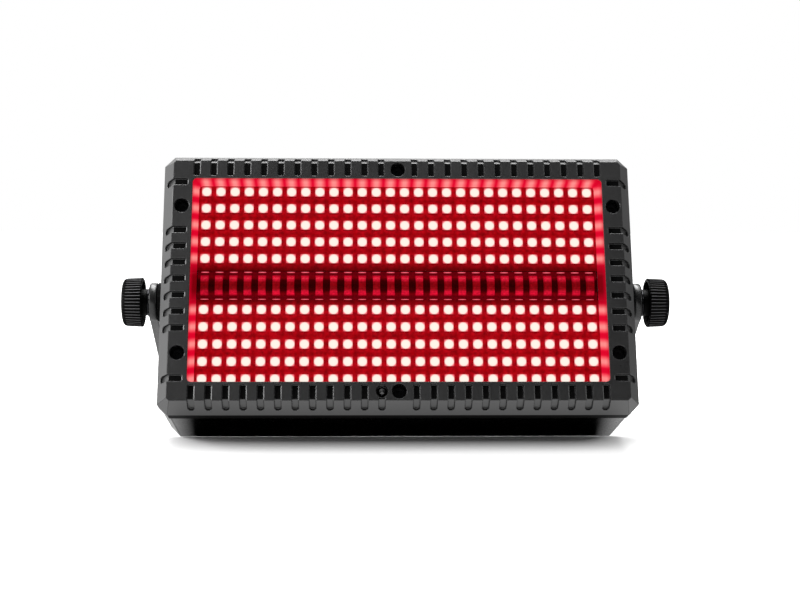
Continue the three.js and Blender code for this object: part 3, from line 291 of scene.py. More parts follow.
def flat_plate(name, x, y, z, radius, material):
    """A plate with round corners: its outline lofted from back to front, drawn in a bit at both faces."""
    half_x, half_y = (x[1] - x[0]) / 2, (y[1] - y[0]) / 2
    middle = ((x[0] + x[1]) / 2, (y[0] + y[1]) / 2)
    levels = ((plate_edge, z[0]), (0, z[0] + plate_edge), (0, z[1] - plate_edge), (plate_edge, z[1]))
    rings = []
    for inset, height in levels:
        outline = round_rectangle(half_x - inset, half_y - inset, radius) + middle
        rings.append(np.column_stack([outline, np.full(len(outline), height)]))
    points, faces = closed_loft(np.stack(rings))
    return add_piece(name, from_head(points), faces, "head", [material])


def edge_shares(mesh, sharp, width):
    """How much of the rounding each edge gets: all of it, or less where the shortest sharp edge at one of
    its ends leaves no room, which is its length times a share, over the width."""
    points = read_all(mesh.vertices, "co", 3)
    ends = read_all(mesh.edges, "vertices", 2, np.int32)
    lengths = np.linalg.norm(points[ends[:, 0]] - points[ends[:, 1]], axis=1) / mm
    shortest = np.full(len(points), np.inf)
    np.minimum.at(shortest, ends[sharp].ravel(), np.repeat(lengths[sharp], 2))
    room = shortest[ends].min(axis=1) * edge_room
    return np.where(sharp, np.clip(room / width, 0, 1), 0.0)


def eased(node, width, materials, body="head", segments=2, sort=None, round_form=False):
    """A copy of a CAD node: its triangles merged, its flat faces joined and its sharp edges rounded.
    The first material covers it, the second, a lighter painted highlight, its rounded edges, and sort gives
    the number of each face's.
    Only a round form is shaded smooth, so that wide flat faces stay even."""
    work = bmesh.new()
    work.from_mesh(frame["nodes"][node].data)
    bmesh.ops.remove_doubles(work, verts=work.verts, dist=mm * sliver_distance)
    bmesh.ops.dissolve_limit(work, angle_limit=flat_angle, verts=work.verts, edges=work.edges)
    turns = np.array([edge.calc_face_angle(0.0) for edge in work.edges])
    mesh = bpy.data.meshes.new(node + "_shape")
    work.to_mesh(mesh)
    work.free()
    weights = mesh.attributes.new("bevel_weight_edge", "FLOAT", "EDGE")
    weights.data.foreach_set("value", edge_shares(mesh, turns > sharp_angle, width))
    for material in materials:
        mesh.materials.append(material)
    kinds = np.zeros(len(mesh.polygons), np.int32)
    if sort is not None:
        kinds = sort(read_all(mesh.polygons, "center", 3)).astype(np.int32)
    mesh.polygons.foreach_set("material_index", kinds)
    if round_form:
        mesh.shade_smooth()
    else:
        mesh.shade_flat()
    piece = bpy.data.objects.new(node + "_shape", mesh)
    bpy.context.scene.collection.objects.link(piece)
    rounding = piece.modifiers.new("rounded edges", "BEVEL")
    rounding.width = width * mm
    rounding.segments = segments
    rounding.limit_method = "WEIGHT"
    rounding.use_clamp_overlap = False
    rounding.harden_normals = round_form
    # The rounded edges take the lighter finish, a painted highlight
    if len(materials) > 1:
        rounding.material = edge_highlight_finish
    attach(piece, body)
    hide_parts(node)


# Shader nodes


def srgb(red, green, blue):
    """A colour as it shows on screen, 0 to 255, as linear light with full alpha."""
    shown = np.array((red, green, blue)) / 255
    low = shown / 12.92
    high = ((shown + 0.055) / 1.055) ** 2.4
    return (*np.where(shown <= 0.04045, low, high).tolist(), 1.0)


def put(tree, kind, settings=None, **inputs):
    """A new node with its settings, and inputs given as values or as sockets to link. An input goes by its
    label, or by n and its number where a node's labels repeat."""
    made = tree.nodes.new("ShaderNode" + kind)
    for key, value in (settings or {}).items():
        setattr(made, key, value)
    for key, value in inputs.items():
        numbered = key[0] == "n" and key[1:].isdigit()
        socket = made.inputs[int(key[1:]) if numbered else key.replace("_", " ")]
        if isinstance(value, bpy.types.NodeSocket):
            tree.links.new(value, socket)
        else:
            socket.default_value = value
    return made


def place_group(tree, group, **inputs):
    """A shared group put into a material, as its outputs by name."""
    return put(tree, "Group", {"node_tree": group}, **inputs).outputs


def object_place(tree):
    """The place on the piece, in the row frame in metres."""
    return put(tree, "TexCoord").outputs["Object"]


def maths(tree, operation, first, second=0.0, third=0.0):
    """The result of one Math node."""
    return put(tree, "Math", {"operation": operation}, n0=first, n1=second, n2=third).outputs[0]


def within(tree, value, limit):
    """One where a value is nearer to zero than the limit, and zero elsewhere."""
    return maths(tree, "LESS_THAN", maths(tree, "ABSOLUTE", value), limit)


def remap(tree, value, span, results=(0.0, 1.0)):
    """A value that goes from the first result to the last over its span, and stays there beyond it."""
    stretch = {"n1": span[0], "n2": span[1], "n3": results[0], "n4": results[1]}
    return put(tree, "MapRange", Value=value, **stretch).outputs[0]


def flat_length(tree, first, second):
    """The length of two coordinates taken together."""
    pair = put(tree, "CombineXYZ", X=first, Y=second)
    return put(tree, "VectorMath", {"operation": "LENGTH"}, n0=pair.outputs[0]).outputs["Value"]


def ramp(tree, factor, stops):
    """A colour that runs through its stops. Each is a position and red, green and blue as on screen."""
    made = put(tree, "ValToRGB", Fac=factor)
    elements = made.color_ramp.elements
    while len(elements) < len(stops):
        elements.new(0.5)
    for element, (position, *colour) in zip(elements, stops):
        element.position = position
        element.color = srgb(*colour)
    return made.outputs[0]


def blend_colours(tree, factor, first, second):
    """A mix from the first colour to the second."""
    return put(tree, "Mix", {"data_type": "RGBA"}, n0=factor, n6=first, n7=second).outputs[2]


def scaled_colour(tree, colour, level):
    """A colour times a level."""
    return put(tree, "VectorMath", {"operation": "SCALE"}, n0=colour, Scale=level).outputs[0]


def mix_shaders(tree, factor, first, second):
    """A mix from the first shader to the second."""
    return put(tree, "MixShader", n0=factor, n1=first, n2=second).outputs[0]


def ray_is(tree, *kinds):
    """One for rays of the named kinds, and zero for the others."""
    path = put(tree, "LightPath")
    share = path.outputs[f"Is {kinds[0]} Ray"]
    for kind in kinds[1:]:
        share = maths(tree, "MAXIMUM", share, path.outputs[f"Is {kind} Ray"])
    return share


# Shared groups

# Noise lies between these values for most of its places
noise_reach = (0.3, 0.7)


def node_group(name, inputs, outputs):
    """An empty shader group with named sockets, and its input and output nodes."""
    tree = bpy.data.node_groups.new(name, "ShaderNodeTree")
    for label, kind, value in inputs:
        socket = tree.interface.new_socket(label, in_out="INPUT", socket_type="NodeSocket" + kind)
        socket.default_value = value
    for label, kind in outputs:
        tree.interface.new_socket(label, in_out="OUTPUT", socket_type="NodeSocket" + kind)
    return tree, tree.nodes.new("NodeGroupInput"), tree.nodes.new("NodeGroupOutput")


def make_head_place():
    """Object coordinates turned into head millimetres."""
    tree, _, out = node_group("head place", [], [("X", "Float"), ("Y", "Float"), ("Z", "Float")])
    turn = Matrix(head_axes.tolist())
    mapping = put(tree, "Mapping", Vector=object_place(tree))
    mapping.inputs["Rotation"].default_value = turn.to_euler()
    mapping.inputs["Scale"].default_value = (1 / mm,) * 3
    mapping.inputs["Location"].default_value = -(turn @ Vector(pivot)) / mm - Vector((0, 0, led_height))
    parts = put(tree, "SeparateXYZ", Vector=mapping.outputs[0])
    for axis in "XYZ":
        tree.links.new(parts.outputs[axis], out.inputs[axis])
    return tree


def off_step(tree, value, count, pitch):
    """How far a value, counted in steps, is from the nearest of a count of steps, in millimetres."""
    nearest = maths(tree, "MAXIMUM", maths(tree, "ROUND", value), 0.0)
    nearest = maths(tree, "MINIMUM", nearest, count - 1)
    return maths(tree, "MULTIPLY", maths(tree, "SUBTRACT", value, nearest), pitch)


def make_led_distance():
    """Distance from the nearest LED: each coordinate less its nearest grid place, and their length.
    Lean slides the rows down with the height, as a mirror image of them seen from below the middle does."""
    tree, given, out = node_group(
        "led distance",
        [("Lean", "Float", 0.0)],
        [("Distance", "Float"), ("Across", "Float"), ("Up", "Float"), ("From Strip", "Float")],
    )
    place = place_group(tree, head_place)
    column = maths(tree, "MULTIPLY_ADD", place["X"], 1 / led_pitch, (led_columns - 1) / 2)
    across = off_step(tree, column, led_columns, led_pitch)
    leaning = maths(tree, "MULTIPLY_ADD", place["Z"], given.outputs["Lean"], place["Y"])
    from_strip = maths(tree, "ABSOLUTE", leaning)
    row = maths(tree, "MULTIPLY_ADD", from_strip, 1 / row_pitch, -inner_row / row_pitch)
    up = off_step(tree, row, led_rows, row_pitch)
    tree.links.new(flat_length(tree, across, up), out.inputs["Distance"])
    tree.links.new(across, out.inputs["Across"])
    tree.links.new(up, out.inputs["Up"])
    tree.links.new(from_strip, out.inputs["From Strip"])
    return tree


def make_fine_grain():
    """Moulded plastic: two sizes of noise that vary the colour, the roughness and the height."""
    broad_size = 35.0
    cell_share = 0.6
    worn_share = 0.16
    pit_share = 0.1
    tree, given, out = node_group(
        "fine grain",
        [
            ("Dark", "Color", black),
            ("Light", "Color", white),
            ("Roughness", "Float", 0.5),
            ("Grain Size", "Float", 0.5),
        ],
        [("Colour", "Color"), ("Roughness", "Float"), ("Height", "Float")],
    )
    place = object_place(tree)
    scale = maths(tree, "DIVIDE", 1 / mm, given.outputs["Grain Size"])
    fine = put(tree, "TexNoise", Vector=place, Scale=scale, Detail=3.0, Roughness=0.6).outputs[0]
    cells = put(tree, "TexVoronoi", Vector=place, Scale=scale).outputs["Distance"]
    broad = put(tree, "TexNoise", Vector=place, Scale=broad_size, Detail=2.0).outputs[0]
    height = maths(tree, "MULTIPLY_ADD", cells, cell_share, fine)
    speckle = remap(tree, fine, noise_reach)
    colour = blend_colours(tree, speckle, given.outputs["Dark"], given.outputs["Light"])
    worn = maths(tree, "MULTIPLY_ADD", broad, worn_share, -worn_share / 2)
    rough = maths(tree, "ADD", given.outputs["Roughness"], worn)
    pitted = maths(tree, "MULTIPLY_ADD", speckle, pit_share, rough)
    tree.links.new(colour, out.inputs["Colour"])
    tree.links.new(pitted, out.inputs["Roughness"])
    tree.links.new(height, out.inputs["Height"])
    return tree


head_place = make_head_place()
led_distance = make_led_distance()
fine_grain = make_fine_grain()


# Kinds of material


def new_material(name, **shader_values):
    """A material with its Principled shader, and plain values on the shader's own sockets."""
    material = bpy.data.materials.new(name)
    material.use_nodes = True
    shader = material.node_tree.nodes["Principled BSDF"]
    for key, value in shader_values.items():
        shader.inputs[key.replace("_", " ")].default_value = value
    return material, material.node_tree, shader


def lay_grain(tree, shader, grain, colour, depth):
    """Joins a grain to a shader: the colour, and the grain's own roughness and height."""
    bump = put(tree, "Bump", Strength=1.0, Distance=depth * mm, Height=grain["Height"])
    tree.links.new(colour, shader.inputs["Base Color"])
    tree.links.new(grain["Roughness"], shader.inputs["Roughness"])
    tree.links.new(bump.outputs[0], shader.inputs["Normal"])


def grained(name, dark, light, roughness, size, depth, **shader_values):
    """Grained plastic, rubber or paint, from two colours and the grain's size and depth."""
    material, tree, shader = new_material(name, **shader_values)
    colours = {"Dark": srgb(*dark), "Light": srgb(*light)}
    grain = place_group(tree, fine_grain, Roughness=roughness, Grain_Size=size, **colours)
    lay_grain(tree, shader, grain, grain["Colour"], depth)
    return material


def brushed(name, dark, light, roughness, stretch):
    """Drawn or turned metal: noise with a scale for each axis, pulled long where the scale is small."""
    line_share = 0.2
    line_depth = 0.05
    material, tree, shader = new_material(name, Metallic=1.0)
    mapping = put(tree, "Mapping", Vector=object_place(tree), Scale=stretch)
    lines = put(tree, "TexNoise", Vector=mapping.outputs[0], Scale=1.0, Detail=4.0).outputs[0]
    colour = blend_colours(tree, lines, srgb(*dark), srgb(*light))
    varied = maths(tree, "MULTIPLY_ADD", lines, line_share, roughness - line_share / 2)
    bump = put(tree, "Bump", Strength=0.4, Distance=line_depth * mm, Height=lines)
    tree.links.new(colour, shader.inputs["Base Color"])
    tree.links.new(varied, shader.inputs["Roughness"])
    tree.links.new(bump.outputs[0], shader.inputs["Normal"])
    return material


def giving_off(material, colour_of):
    """A material made to give off the colour that a function works out in its tree."""
    tree = material.node_tree
    shader = tree.nodes["Principled BSDF"]
    shader.inputs["Emission Strength"].default_value = 1.0
    tree.links.new(colour_of(tree), shader.inputs["Emission Color"])
    return material


def lit_surface(name, colour_of, base, roughness):
    """A surface under the red LEDs: what it gives off, the LEDs' own glow or painted LED light and shade,
    follows its place in the head.
    """
    material = new_material(name, Base_Color=base, Roughness=roughness, Specular_IOR_Level=0.02)[0]
    return giving_off(material, colour_of)


# The glow of the LED windows, and the painted LED light and shade on the faces round them


def package_painted_glow(tree):
    """Painted glow of the LED on its package: pink at the rim of the window, red at the corners."""
    share = remap(tree, place_group(tree, led_distance)["Distance"], package_glow)
    stops = [
        (0.0, 254, 186, 180),
        (0.25, 244, 128, 134),
        (0.6, 226, 76, 92),
        (1.0, 200, 40, 58),
    ]
    return ramp(tree, share, stops)


def package_side_painted_light(tree):
    """Painted red light on the sides of a package, with painted shade low down, a little lighter towards
    its top.
    """
    share = remap(tree, place_group(tree, head_place)["Z"], (-package_height, 0.0))
    return ramp(tree, share, [(0.0, 104, 0, 4), (1.0, 150, 4, 16)])


def window_colour(tree):
    """White in the middle and warm towards the rim."""
    near = place_group(tree, led_distance)
    share = maths(tree, "DIVIDE", near["Distance"], window_floor_radius)
    return ramp(tree, share, [(0.0, 253, 246, 234), (0.75, 253, 242, 230), (1.0, 254, 226, 216)])


def board_painted_light(tree):
    """Painted red LED light on the board between the LEDs, with painted shade next to the strip and a faint
    uneven painted glow.
    """
    near = place_group(tree, led_distance)
    share = remap(tree, near["Distance"], board_glow)
    lit = ramp(tree, share, [(0.0, 150, 2, 12), (0.3, 172, 8, 20), (1.0, 146, 0, 6)])
    uneven = put(tree, "TexNoise", Vector=object_place(tree), Scale=480.0, Detail=4.0).outputs[0]
    varied = remap(tree, uneven, noise_reach, (0.62, 1.32))
    # Painted shade on the board next to the strip
    shade = remap(tree, near["From Strip"], board_shade, (0.42, 1.0))
    return scaled_colour(tree, lit, maths(tree, "MULTIPLY", varied, shade))


def frame_painted_reflections(tree):
    """The window's walls: a painted reflection of each LED as a pink patch opposite it, painted red light
    between, and painted shade at the strip and the outer lip.
    The patches are counted along X, and on the two side walls along Y."""
    lip_share = 0.6
    near = place_group(tree, led_distance, Lean=wall_lean)
    place = place_group(tree, head_place)
    side = maths(tree, "GREATER_THAN", maths(tree, "ABSOLUTE", place["X"]), side_wall)
    ways = {"n0": side, "n2": near["Across"], "n3": near["Up"]}
    apart = put(tree, "Mix", {"data_type": "FLOAT"}, **ways).outputs[0]
    share = remap(tree, maths(tree, "ABSOLUTE", apart), patch_glow)
    stops = [
        (0.0, 255, 140, 138),
        (0.45, 250, 85, 98),
        (0.8, 232, 20, 55),
        (1.0, 222, 5, 42),
    ]
    # Painted reflections of the LEDs, as pink patches on red
    patches = ramp(tree, share, stops)
    # Painted shade on the side walls next to the strip, and towards the outer lip the painted reflections
    # fade to plain red
    lit = remap(tree, near["From Strip"], wall_shade)
    beside = maths(tree, "MULTIPLY", maths(tree, "SUBTRACT", 1.0, lit), side)
    dimmed = blend_colours(tree, beside, patches, srgb(120, 0, 10))
    outer = maths(tree, "MULTIPLY", remap(tree, place["Z"], wall_top), lip_share)
    return blend_colours(tree, outer, dimmed, srgb(205, 0, 36))


def lens_painted_light(tree):
    """The strip: painted red LED light near its feet, and painted shade at the crest, at both ends and,
    darker still, between the ridges.
    The feet are told from the crest by the height up the face, which a ridge's rise adds to by the lean."""
    side_share = 0.4
    place = place_group(tree, head_place)
    near = place_group(tree, led_distance)
    raised = maths(tree, "MULTIPLY_ADD", place["Z"], view_lean, view_centre)
    foot = maths(tree, "ABSOLUTE", maths(tree, "ADD", place["Y"], raised))
    foot = maths(tree, "DIVIDE", foot, ridge_half_length)
    ridge_stops = [
        (0.0, 126, 2, 10),
        (0.32, 138, 4, 14),
        (0.62, 214, 18, 50),
        (0.86, 206, 14, 44),
        (0.97, 130, 0, 16),
        (1.0, 92, 0, 8),
    ]
    ridge = ramp(tree, foot, ridge_stops)
    # Painted shade between the ridges
    gap_shade = ramp(tree, foot, [(0.0, 36, 0, 0), (0.5, 54, 0, 2), (0.8, 112, 0, 8), (1.0, 96, 0, 8)])
    top = remap(tree, maths(tree, "ABSOLUTE", near["Across"]), ridge_top)
    seen = maths(tree, "MULTIPLY_ADD", top, 1 - side_share, side_share)
    body = maths(tree, "MULTIPLY", remap(tree, place["Z"], ridge_base), seen)
    shrunk = put(tree, "CombineXYZ", Y=maths(tree, "MULTIPLY", place["Y"], 0.35)).outputs[0]
    bands = {"Vector": shrunk, "Scale": 1.0, "Distortion": 0.4}
    lines = put(tree, "TexWave", {"bands_direction": "Y"}, **bands).outputs["Fac"]
    # Painted shade towards both ends of the strip
    ends = remap(tree, maths(tree, "ABSOLUTE", place["X"]), lens_ends, (1.0, 0.8))
    level = maths(tree, "MULTIPLY", maths(tree, "MULTIPLY_ADD", lines, 0.22, 0.88), ends)
    blotch = put(tree, "TexNoise", Vector=object_place(tree), Scale=900.0, Detail=3.0).outputs[0]
    level = maths(tree, "MULTIPLY", level, remap(tree, blotch, noise_reach, (0.7, 1.3)))
    return scaled_colour(tree, blend_colours(tree, body, gap_shade, ridge), level)


def lip_painted_glow(tree):
    """Painted glow of LED light on the rim at the ridges' feet, a little stronger in the middle of each
    ridge.
    """
    near = place_group(tree, led_distance)
    share = remap(tree, maths(tree, "ABSOLUTE", near["Across"]), lip_glow)
    return ramp(tree, share, [(0.0, 250, 105, 122), (1.0, 200, 40, 62)])


def bezel_painted_red_light(tree):
    """Painted red LED light on the faces of the bezel that line the window."""
    place = place_group(tree, head_place)
    inside = maths(
        tree, "MULTIPLY", within(tree, place["X"], window_half[0]), within(tree, place["Y"], window_half[1])
    )
    inside = maths(tree, "MULTIPLY", inside, maths(tree, "LESS_THAN", place["Z"], window_top))
    return blend_colours(tree, inside, black, srgb(150, 2, 22))


def ribbed_plastic():
    """Black knob plastic, with a painted highlight on the crests of the ribs. A place is on a crest where
    its distance from the pivot line, plus what the rim's taper takes away there, comes up to the knob's
    radius."""
    material, tree, shader = new_material("ribbed knob plastic", Specular_IOR_Level=0.08)
    colours = {"Dark": srgb(1, 1, 1), "Light": srgb(6, 6, 6)}
    grain = place_group(tree, fine_grain, Roughness=0.42, Grain_Size=0.4, **colours)
    place = place_group(tree, head_place)
    from_line = flat_length(tree, place["Y"], maths(tree, "ADD", place["Z"], led_height))
    lost = remap(tree, maths(tree, "ABSOLUTE", place["X"]), knob_slope, (0.0, knob_taper))
    crest_highlight_span = (knob_radius - rib_depth * crest_highlight_band, knob_radius - crest_highlight_margin)
    crest = remap(tree, maths(tree, "ADD", from_line, lost), crest_highlight_span)
    # A painted highlight on the crests of the ribs
    colour = blend_colours(tree, crest, grain["Colour"], srgb(120, 120, 122))
    lay_grain(tree, shader, grain, colour, 0.03)
    return material


# The finishes of this light: dark and light colour, roughness, and grain size and depth in millimetres

# The bezel gives off painted red LED light on the faces that line the window
black_bezel = giving_off(
    grained(
        "black moulded bezel", (6, 6, 6), (20, 20, 21), 0.3, 0.6, 0.06, Specular_IOR_Level=1.0, IOR=1.68
    ),
    bezel_painted_red_light,
)
# A lighter finish on the bezel's rounded edges: a painted highlight
bezel_edge_highlight = grained(
    "bezel edge painted highlight", (16, 16, 16), (38, 38, 39), 0.22, 0.5, 0.02, Specular_IOR_Level=1.0
)
# A darker, duller finish on the floors and sides of the grooves and screw wells: painted shade
groove_painted_shade = grained(
    "bezel groove floor painted shade", (3, 3, 3), (12, 12, 12), 0.7, 0.5, 0.05, Specular_IOR_Level=0.1
)
# A dull, dark copy of the bezel finish on the lip behind the slopes: painted shade
bezel_lip_painted_shade = grained(
    "bezel lip painted shade", (7, 7, 7), (18, 18, 18), 0.6, 0.6, 0.05, Specular_IOR_Level=0.08
)
black_housing = grained(
    "black moulded housing", (4, 4, 4), (16, 16, 16), 0.22, 0.6, 0.03, Specular_IOR_Level=0.8
)
# A lighter finish on the housing's rounded edges: a painted highlight
housing_edge_highlight = grained(
    "housing edge painted highlight", (12, 12, 12), (32, 32, 33), 0.4, 0.5, 0.04, Specular_IOR_Level=0.3
)
black_paint = grained(
    "black powder coat", (14, 14, 14), (30, 30, 31), 0.24, 0.35, 0.03, Specular_IOR_Level=0.7
)
# A lighter finish on the yoke's rounded edges: a painted highlight
paint_edge_highlight = grained(
    "powder coat edge painted highlight", (22, 22, 22), (44, 44, 45), 0.2, 0.35, 0.02, Specular_IOR_Level=0.8
)
knob_plastic = ribbed_plastic()
socket_plastic = grained("socket plastic", (14, 14, 15), (28, 28, 29), 0.42, 0.5, 0.03)
# A lighter finish on the sockets' rounded edges: a painted highlight
socket_edge_highlight = grained("socket edge painted highlight", (30, 30, 31), (52, 52, 54), 0.35, 0.5, 0.02)
button_plastic = grained("button plastic", (52, 52, 54), (74, 74, 77), 0.45, 0.4, 0.02)
fan_plastic = grained("fan plastic", (14, 14, 15), (26, 26, 27), 0.4, 0.6, 0.02)
soft_rubber = grained("black rubber", (3, 3, 3), (14, 14, 14), 0.8, 0.7, 0.03, Specular_IOR_Level=0.1)
black_zinc = grained("black zinc", (18, 18, 19), (44, 44, 47), 0.3, 0.3, 0.01, Metallic=0.9)
circuit_mask = grained("green solder mask", (14, 62, 30), (26, 92, 46), 0.35, 1.2, 0.02)
smoked = grained(
    "smoked lens", (4, 4, 6), (10, 10, 13), 0.1, 2.0, 0.005, Specular_IOR_Level=0.7, Coat_Weight=1.0
)

plated_steel = brushed("zinc plated steel", (150, 152, 155), (205, 207, 210), 0.3, (900, 160, 160))
milled_aluminium = brushed("milled aluminium", (160, 162, 165), (206, 208, 211), 0.38, (60, 900, 900))
turned_brass = brushed("turned brass", (160, 122, 60), (214, 178, 104), 0.3, (900, 200, 200))

deep_red = (0.02, 0.001, 0.002, 1)
# The LED windows glow; the other faces under the LEDs give off painted LED light and shade
led_window = lit_surface("lit LED window", window_colour, (0.02, 0.02, 0.02, 1), 0.5)
package_side = lit_surface("LED package side", package_side_painted_light, deep_red, 0.5)
led_package = lit_surface("LED package", package_painted_glow, (0.06, 0.01, 0.01, 1), 0.5)
led_board = lit_surface("red lit board", board_painted_light, (0.03, 0.001, 0.002, 1), 0.45)
lit_frame = lit_surface("glossy window wall", frame_painted_reflections, deep_red, 0.2)
lens_clear = lit_surface("moulded clear lens", lens_painted_light, deep_red, 0.18)
lens_lip = lit_surface("lens lip", lip_painted_glow, (0.05, 0.01, 0.01, 1), 0.2)


# The LED boards


def led_packages(side, half):
    """Square packages with a round window. Along each of 16 rays the outline is square, half the side over
    the larger of |cos| and |sin|, and then round at the window's rim and at its floor."""
    angles = full_turn(package_sides)
    rays = np.stack([np.cos(angles), np.sin(angles)], axis=-1)
    square = rays * (led_side / 2 / np.abs(rays).max(axis=1))[:, None]
    rings = [
        (square, -package_height - package_sink),
        (square, 0.0),
        (rays * window_radius, 0.0),
        (rays * window_floor_radius, -window_depth),
    ]
    shape = np.stack([np.column_stack([flat, np.full(package_sides, z)]) for flat, z in rings])
    points, faces = closed_loft(shape)
    x, y = np.meshgrid(column_x, side * (inner_row + np.arange(led_rows) * row_pitch), indexing="ij")
    shifts = np.stack([x, y, np.zeros_like(x)], axis=-1).reshape(-1, 3)
    places, counted = repeated(points, faces, shifts)
    package, window, wall = range(3)
    upper = len(faces) - 1 - package_sides
    kinds = ([wall] * package_sides + [package] * upper + [window]) * len(shifts)
    materials = [led_package, led_window, package_side]
    name = half + "_led_packages"
    piece = add_piece(name, from_head(places), counted, "head", materials, kinds)
    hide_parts(half + "_led_board")


board_low, board_high = head_span("upper_led_board")
board_x = (board_low[0], board_high[0])
board_z = (board_low[2], board_high[2] - package_height)
board_inner = lens_half_width + board_gap
board_outer = board_high[1] - board_border
for side, half in ((1, "upper"), (-1, "lower")):
    led_packages(side, half)
    board_y = sorted((side * board_inner, side * board_outer))
    name = half + "_board_plate"
    plate = flat_plate(name, board_x, board_y, board_z, board_corner, led_board)
    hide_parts(half + "_led_board")


# The strobe lens


def lens_ridges():
    """Each ridge rises as half an ellipse from foot to foot and narrows towards its crest.
    Across it, nine points follow upright sides, rounded edges and a slightly crowned top."""
    turn = np.linspace(0, math.pi, ridge_rows)
    y = -ridge_half_length * np.cos(turn)
    rise = np.maximum(ridge_rise * np.sin(turn), least_rise)
    half = (ridge_foot_width + (ridge_crest_width - ridge_foot_width) * np.sin(turn)) / 2
    edge = np.minimum(ridge_edge, rise * 0.6)
    bite = edge * 0.3
    level = np.zeros_like(rise)
    crown = -ridge_crown * rise / ridge_rise
    left = [-half, -half, -half + bite, -half + edge]
    right = [half - edge, half - bite, half, half]
    across = np.stack([*left, level, *right], axis=-1)
    side = [rise + ridge_sink, edge, bite, level]
    drop = np.stack([*side, crown, *side[::-1]], axis=-1)
    height = lens_foot + rise[:, None] - drop
    shape = np.stack([across, np.broadcast_to(y[:, None], across.shape), height], axis=-1)
    return repeated(*closed_loft(shape), ridge_shifts)


def lens_lips():
    """A low rounded bar at each foot of each ridge: half an ellipse of seven points, carried along X
    through four rings, of which the outer two are small and close the bar."""
    turn = np.linspace(0, math.pi, lip_steps)
    x = np.array((-1.0, -0.9, 0.9, 1.0)) * lip_length / 2
    swell = np.array((0.3, 1.0, 1.0, 0.3))[:, None]
    y = np.cos(turn) * (lip_width / 2) * swell
    z = np.sin(turn) * lip_rise * swell + lens_foot + lip_lift
    rings = np.stack([np.broadcast_to(x[:, None], y.shape), y, z], axis=-1)
    foot = lens_half_width - lip_inset - lip_width / 2
    shifts = ridge_shifts[:, None] + np.array(((0, -foot, 0), (0, foot, 0)))
    return repeated(*closed_loft(rings), shifts.reshape(-1, 3))


lens_low, lens_high = head_span("strobe_lens")
ridge_points, ridge_faces = lens_ridges()
ridges = add_piece("lens_ridges", from_head(ridge_points), ridge_faces, "head", [lens_clear])
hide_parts("strobe_lens")
lens_x = (lens_low[0], lens_high[0])
lens_y = (-lens_half_width, lens_half_width)
flat_plate("lens_plate", lens_x, lens_y, (lens_back, lens_foot), lens_corner, lens_clear)
lip_points, lip_faces = lens_lips()
add_piece("lens_lips", from_head(lip_points), lip_faces, "head", [lens_lip])


# The housing, the bezel and what is set in them


def bezel_parts(middles):
    """The groove finish, a painted shade, for the floors and sides of the grooves and screw wells in the
    flat face, the lip finish, a painted shade too, for the lip behind the slopes, and the bezel's own for
    the rest."""
    x, y, z = to_head(middles).T
    on_face = (np.abs(x) < face_half[0]) & (np.abs(y) < face_half[1])
    outside = (np.abs(x) > window_half[0] + face_margin) | (np.abs(y) > window_half[1] + face_margin)
    below = (z < bezel_high[2] - face_margin) & (z > bezel_high[2] - groove_reach)
    on_lip = (np.abs(x) > bezel_high[0] - face_margin) | (np.abs(y) > bezel_high[1] - face_margin)
    return np.select([on_face & outside & below, on_lip], [groove_shade_finish, lip_shade_finish], 0)


bezel_finishes = [black_bezel, bezel_edge_highlight, groove_painted_shade, bezel_lip_painted_shade]
eased("front_bezel", bezel_edge, bezel_finishes, sort=bezel_parts)
eased("rear_housing", housing_edge, [black_housing, housing_edge_highlight])
eased("yoke", yoke_edge, [black_paint, paint_edge_highlight], "yoke", segments=3, round_form=True)
socket_finishes = [socket_plastic, socket_edge_highlight]
for node in ("power_inlet", "power_outlet", "data_inlet", "data_outlet", "fuse_holder"):
    eased(node, socket_edge, socket_finishes)
eased("fuse_cap", socket_edge, socket_finishes, "fuse_cap", round_form=True)
screws = [f"bezel_screw_{i + 1}" for i in range(6)] + [f"fan_screw_{i + 1}" for i in range(4)]
for node in screws:
    eased(node, small_edge, [black_zinc], round_form=True)

finishes = {
    "window_frame": lit_frame,
    "strobe_led_board": circuit_mask,
    "heat_sink": milled_aluminium,
    "bezel_gasket": soft_rubber,
    "infrared_receiver": smoked,
    "power_supply": milled_aluminium,
    "control_board": circuit_mask,
    "display_window": smoked,
    "fan_frame": fan_plastic,
    "fan_rotor": fan_plastic,
    "safety_eye": plated_steel,
}
for side in ("left", "right"):
    finishes[side + "_pivot_insert"] = turned_brass
    finishes[side + "_friction_disc"] = soft_rubber
    finishes[side + "_knob_washer"] = black_zinc
    finishes[side + "_knob_stud"] = plated_steel
for i in range(4):
    finishes[f"menu_button_{i + 1}"] = button_plastic
    finishes[f"supply_screw_{i + 1}"] = plated_steel
for node, finish in finishes.items():
    shown = frame["nodes"][node]
    shown.data.materials.clear()
    shown.data.materials.append(finish)


# The clamp knobs


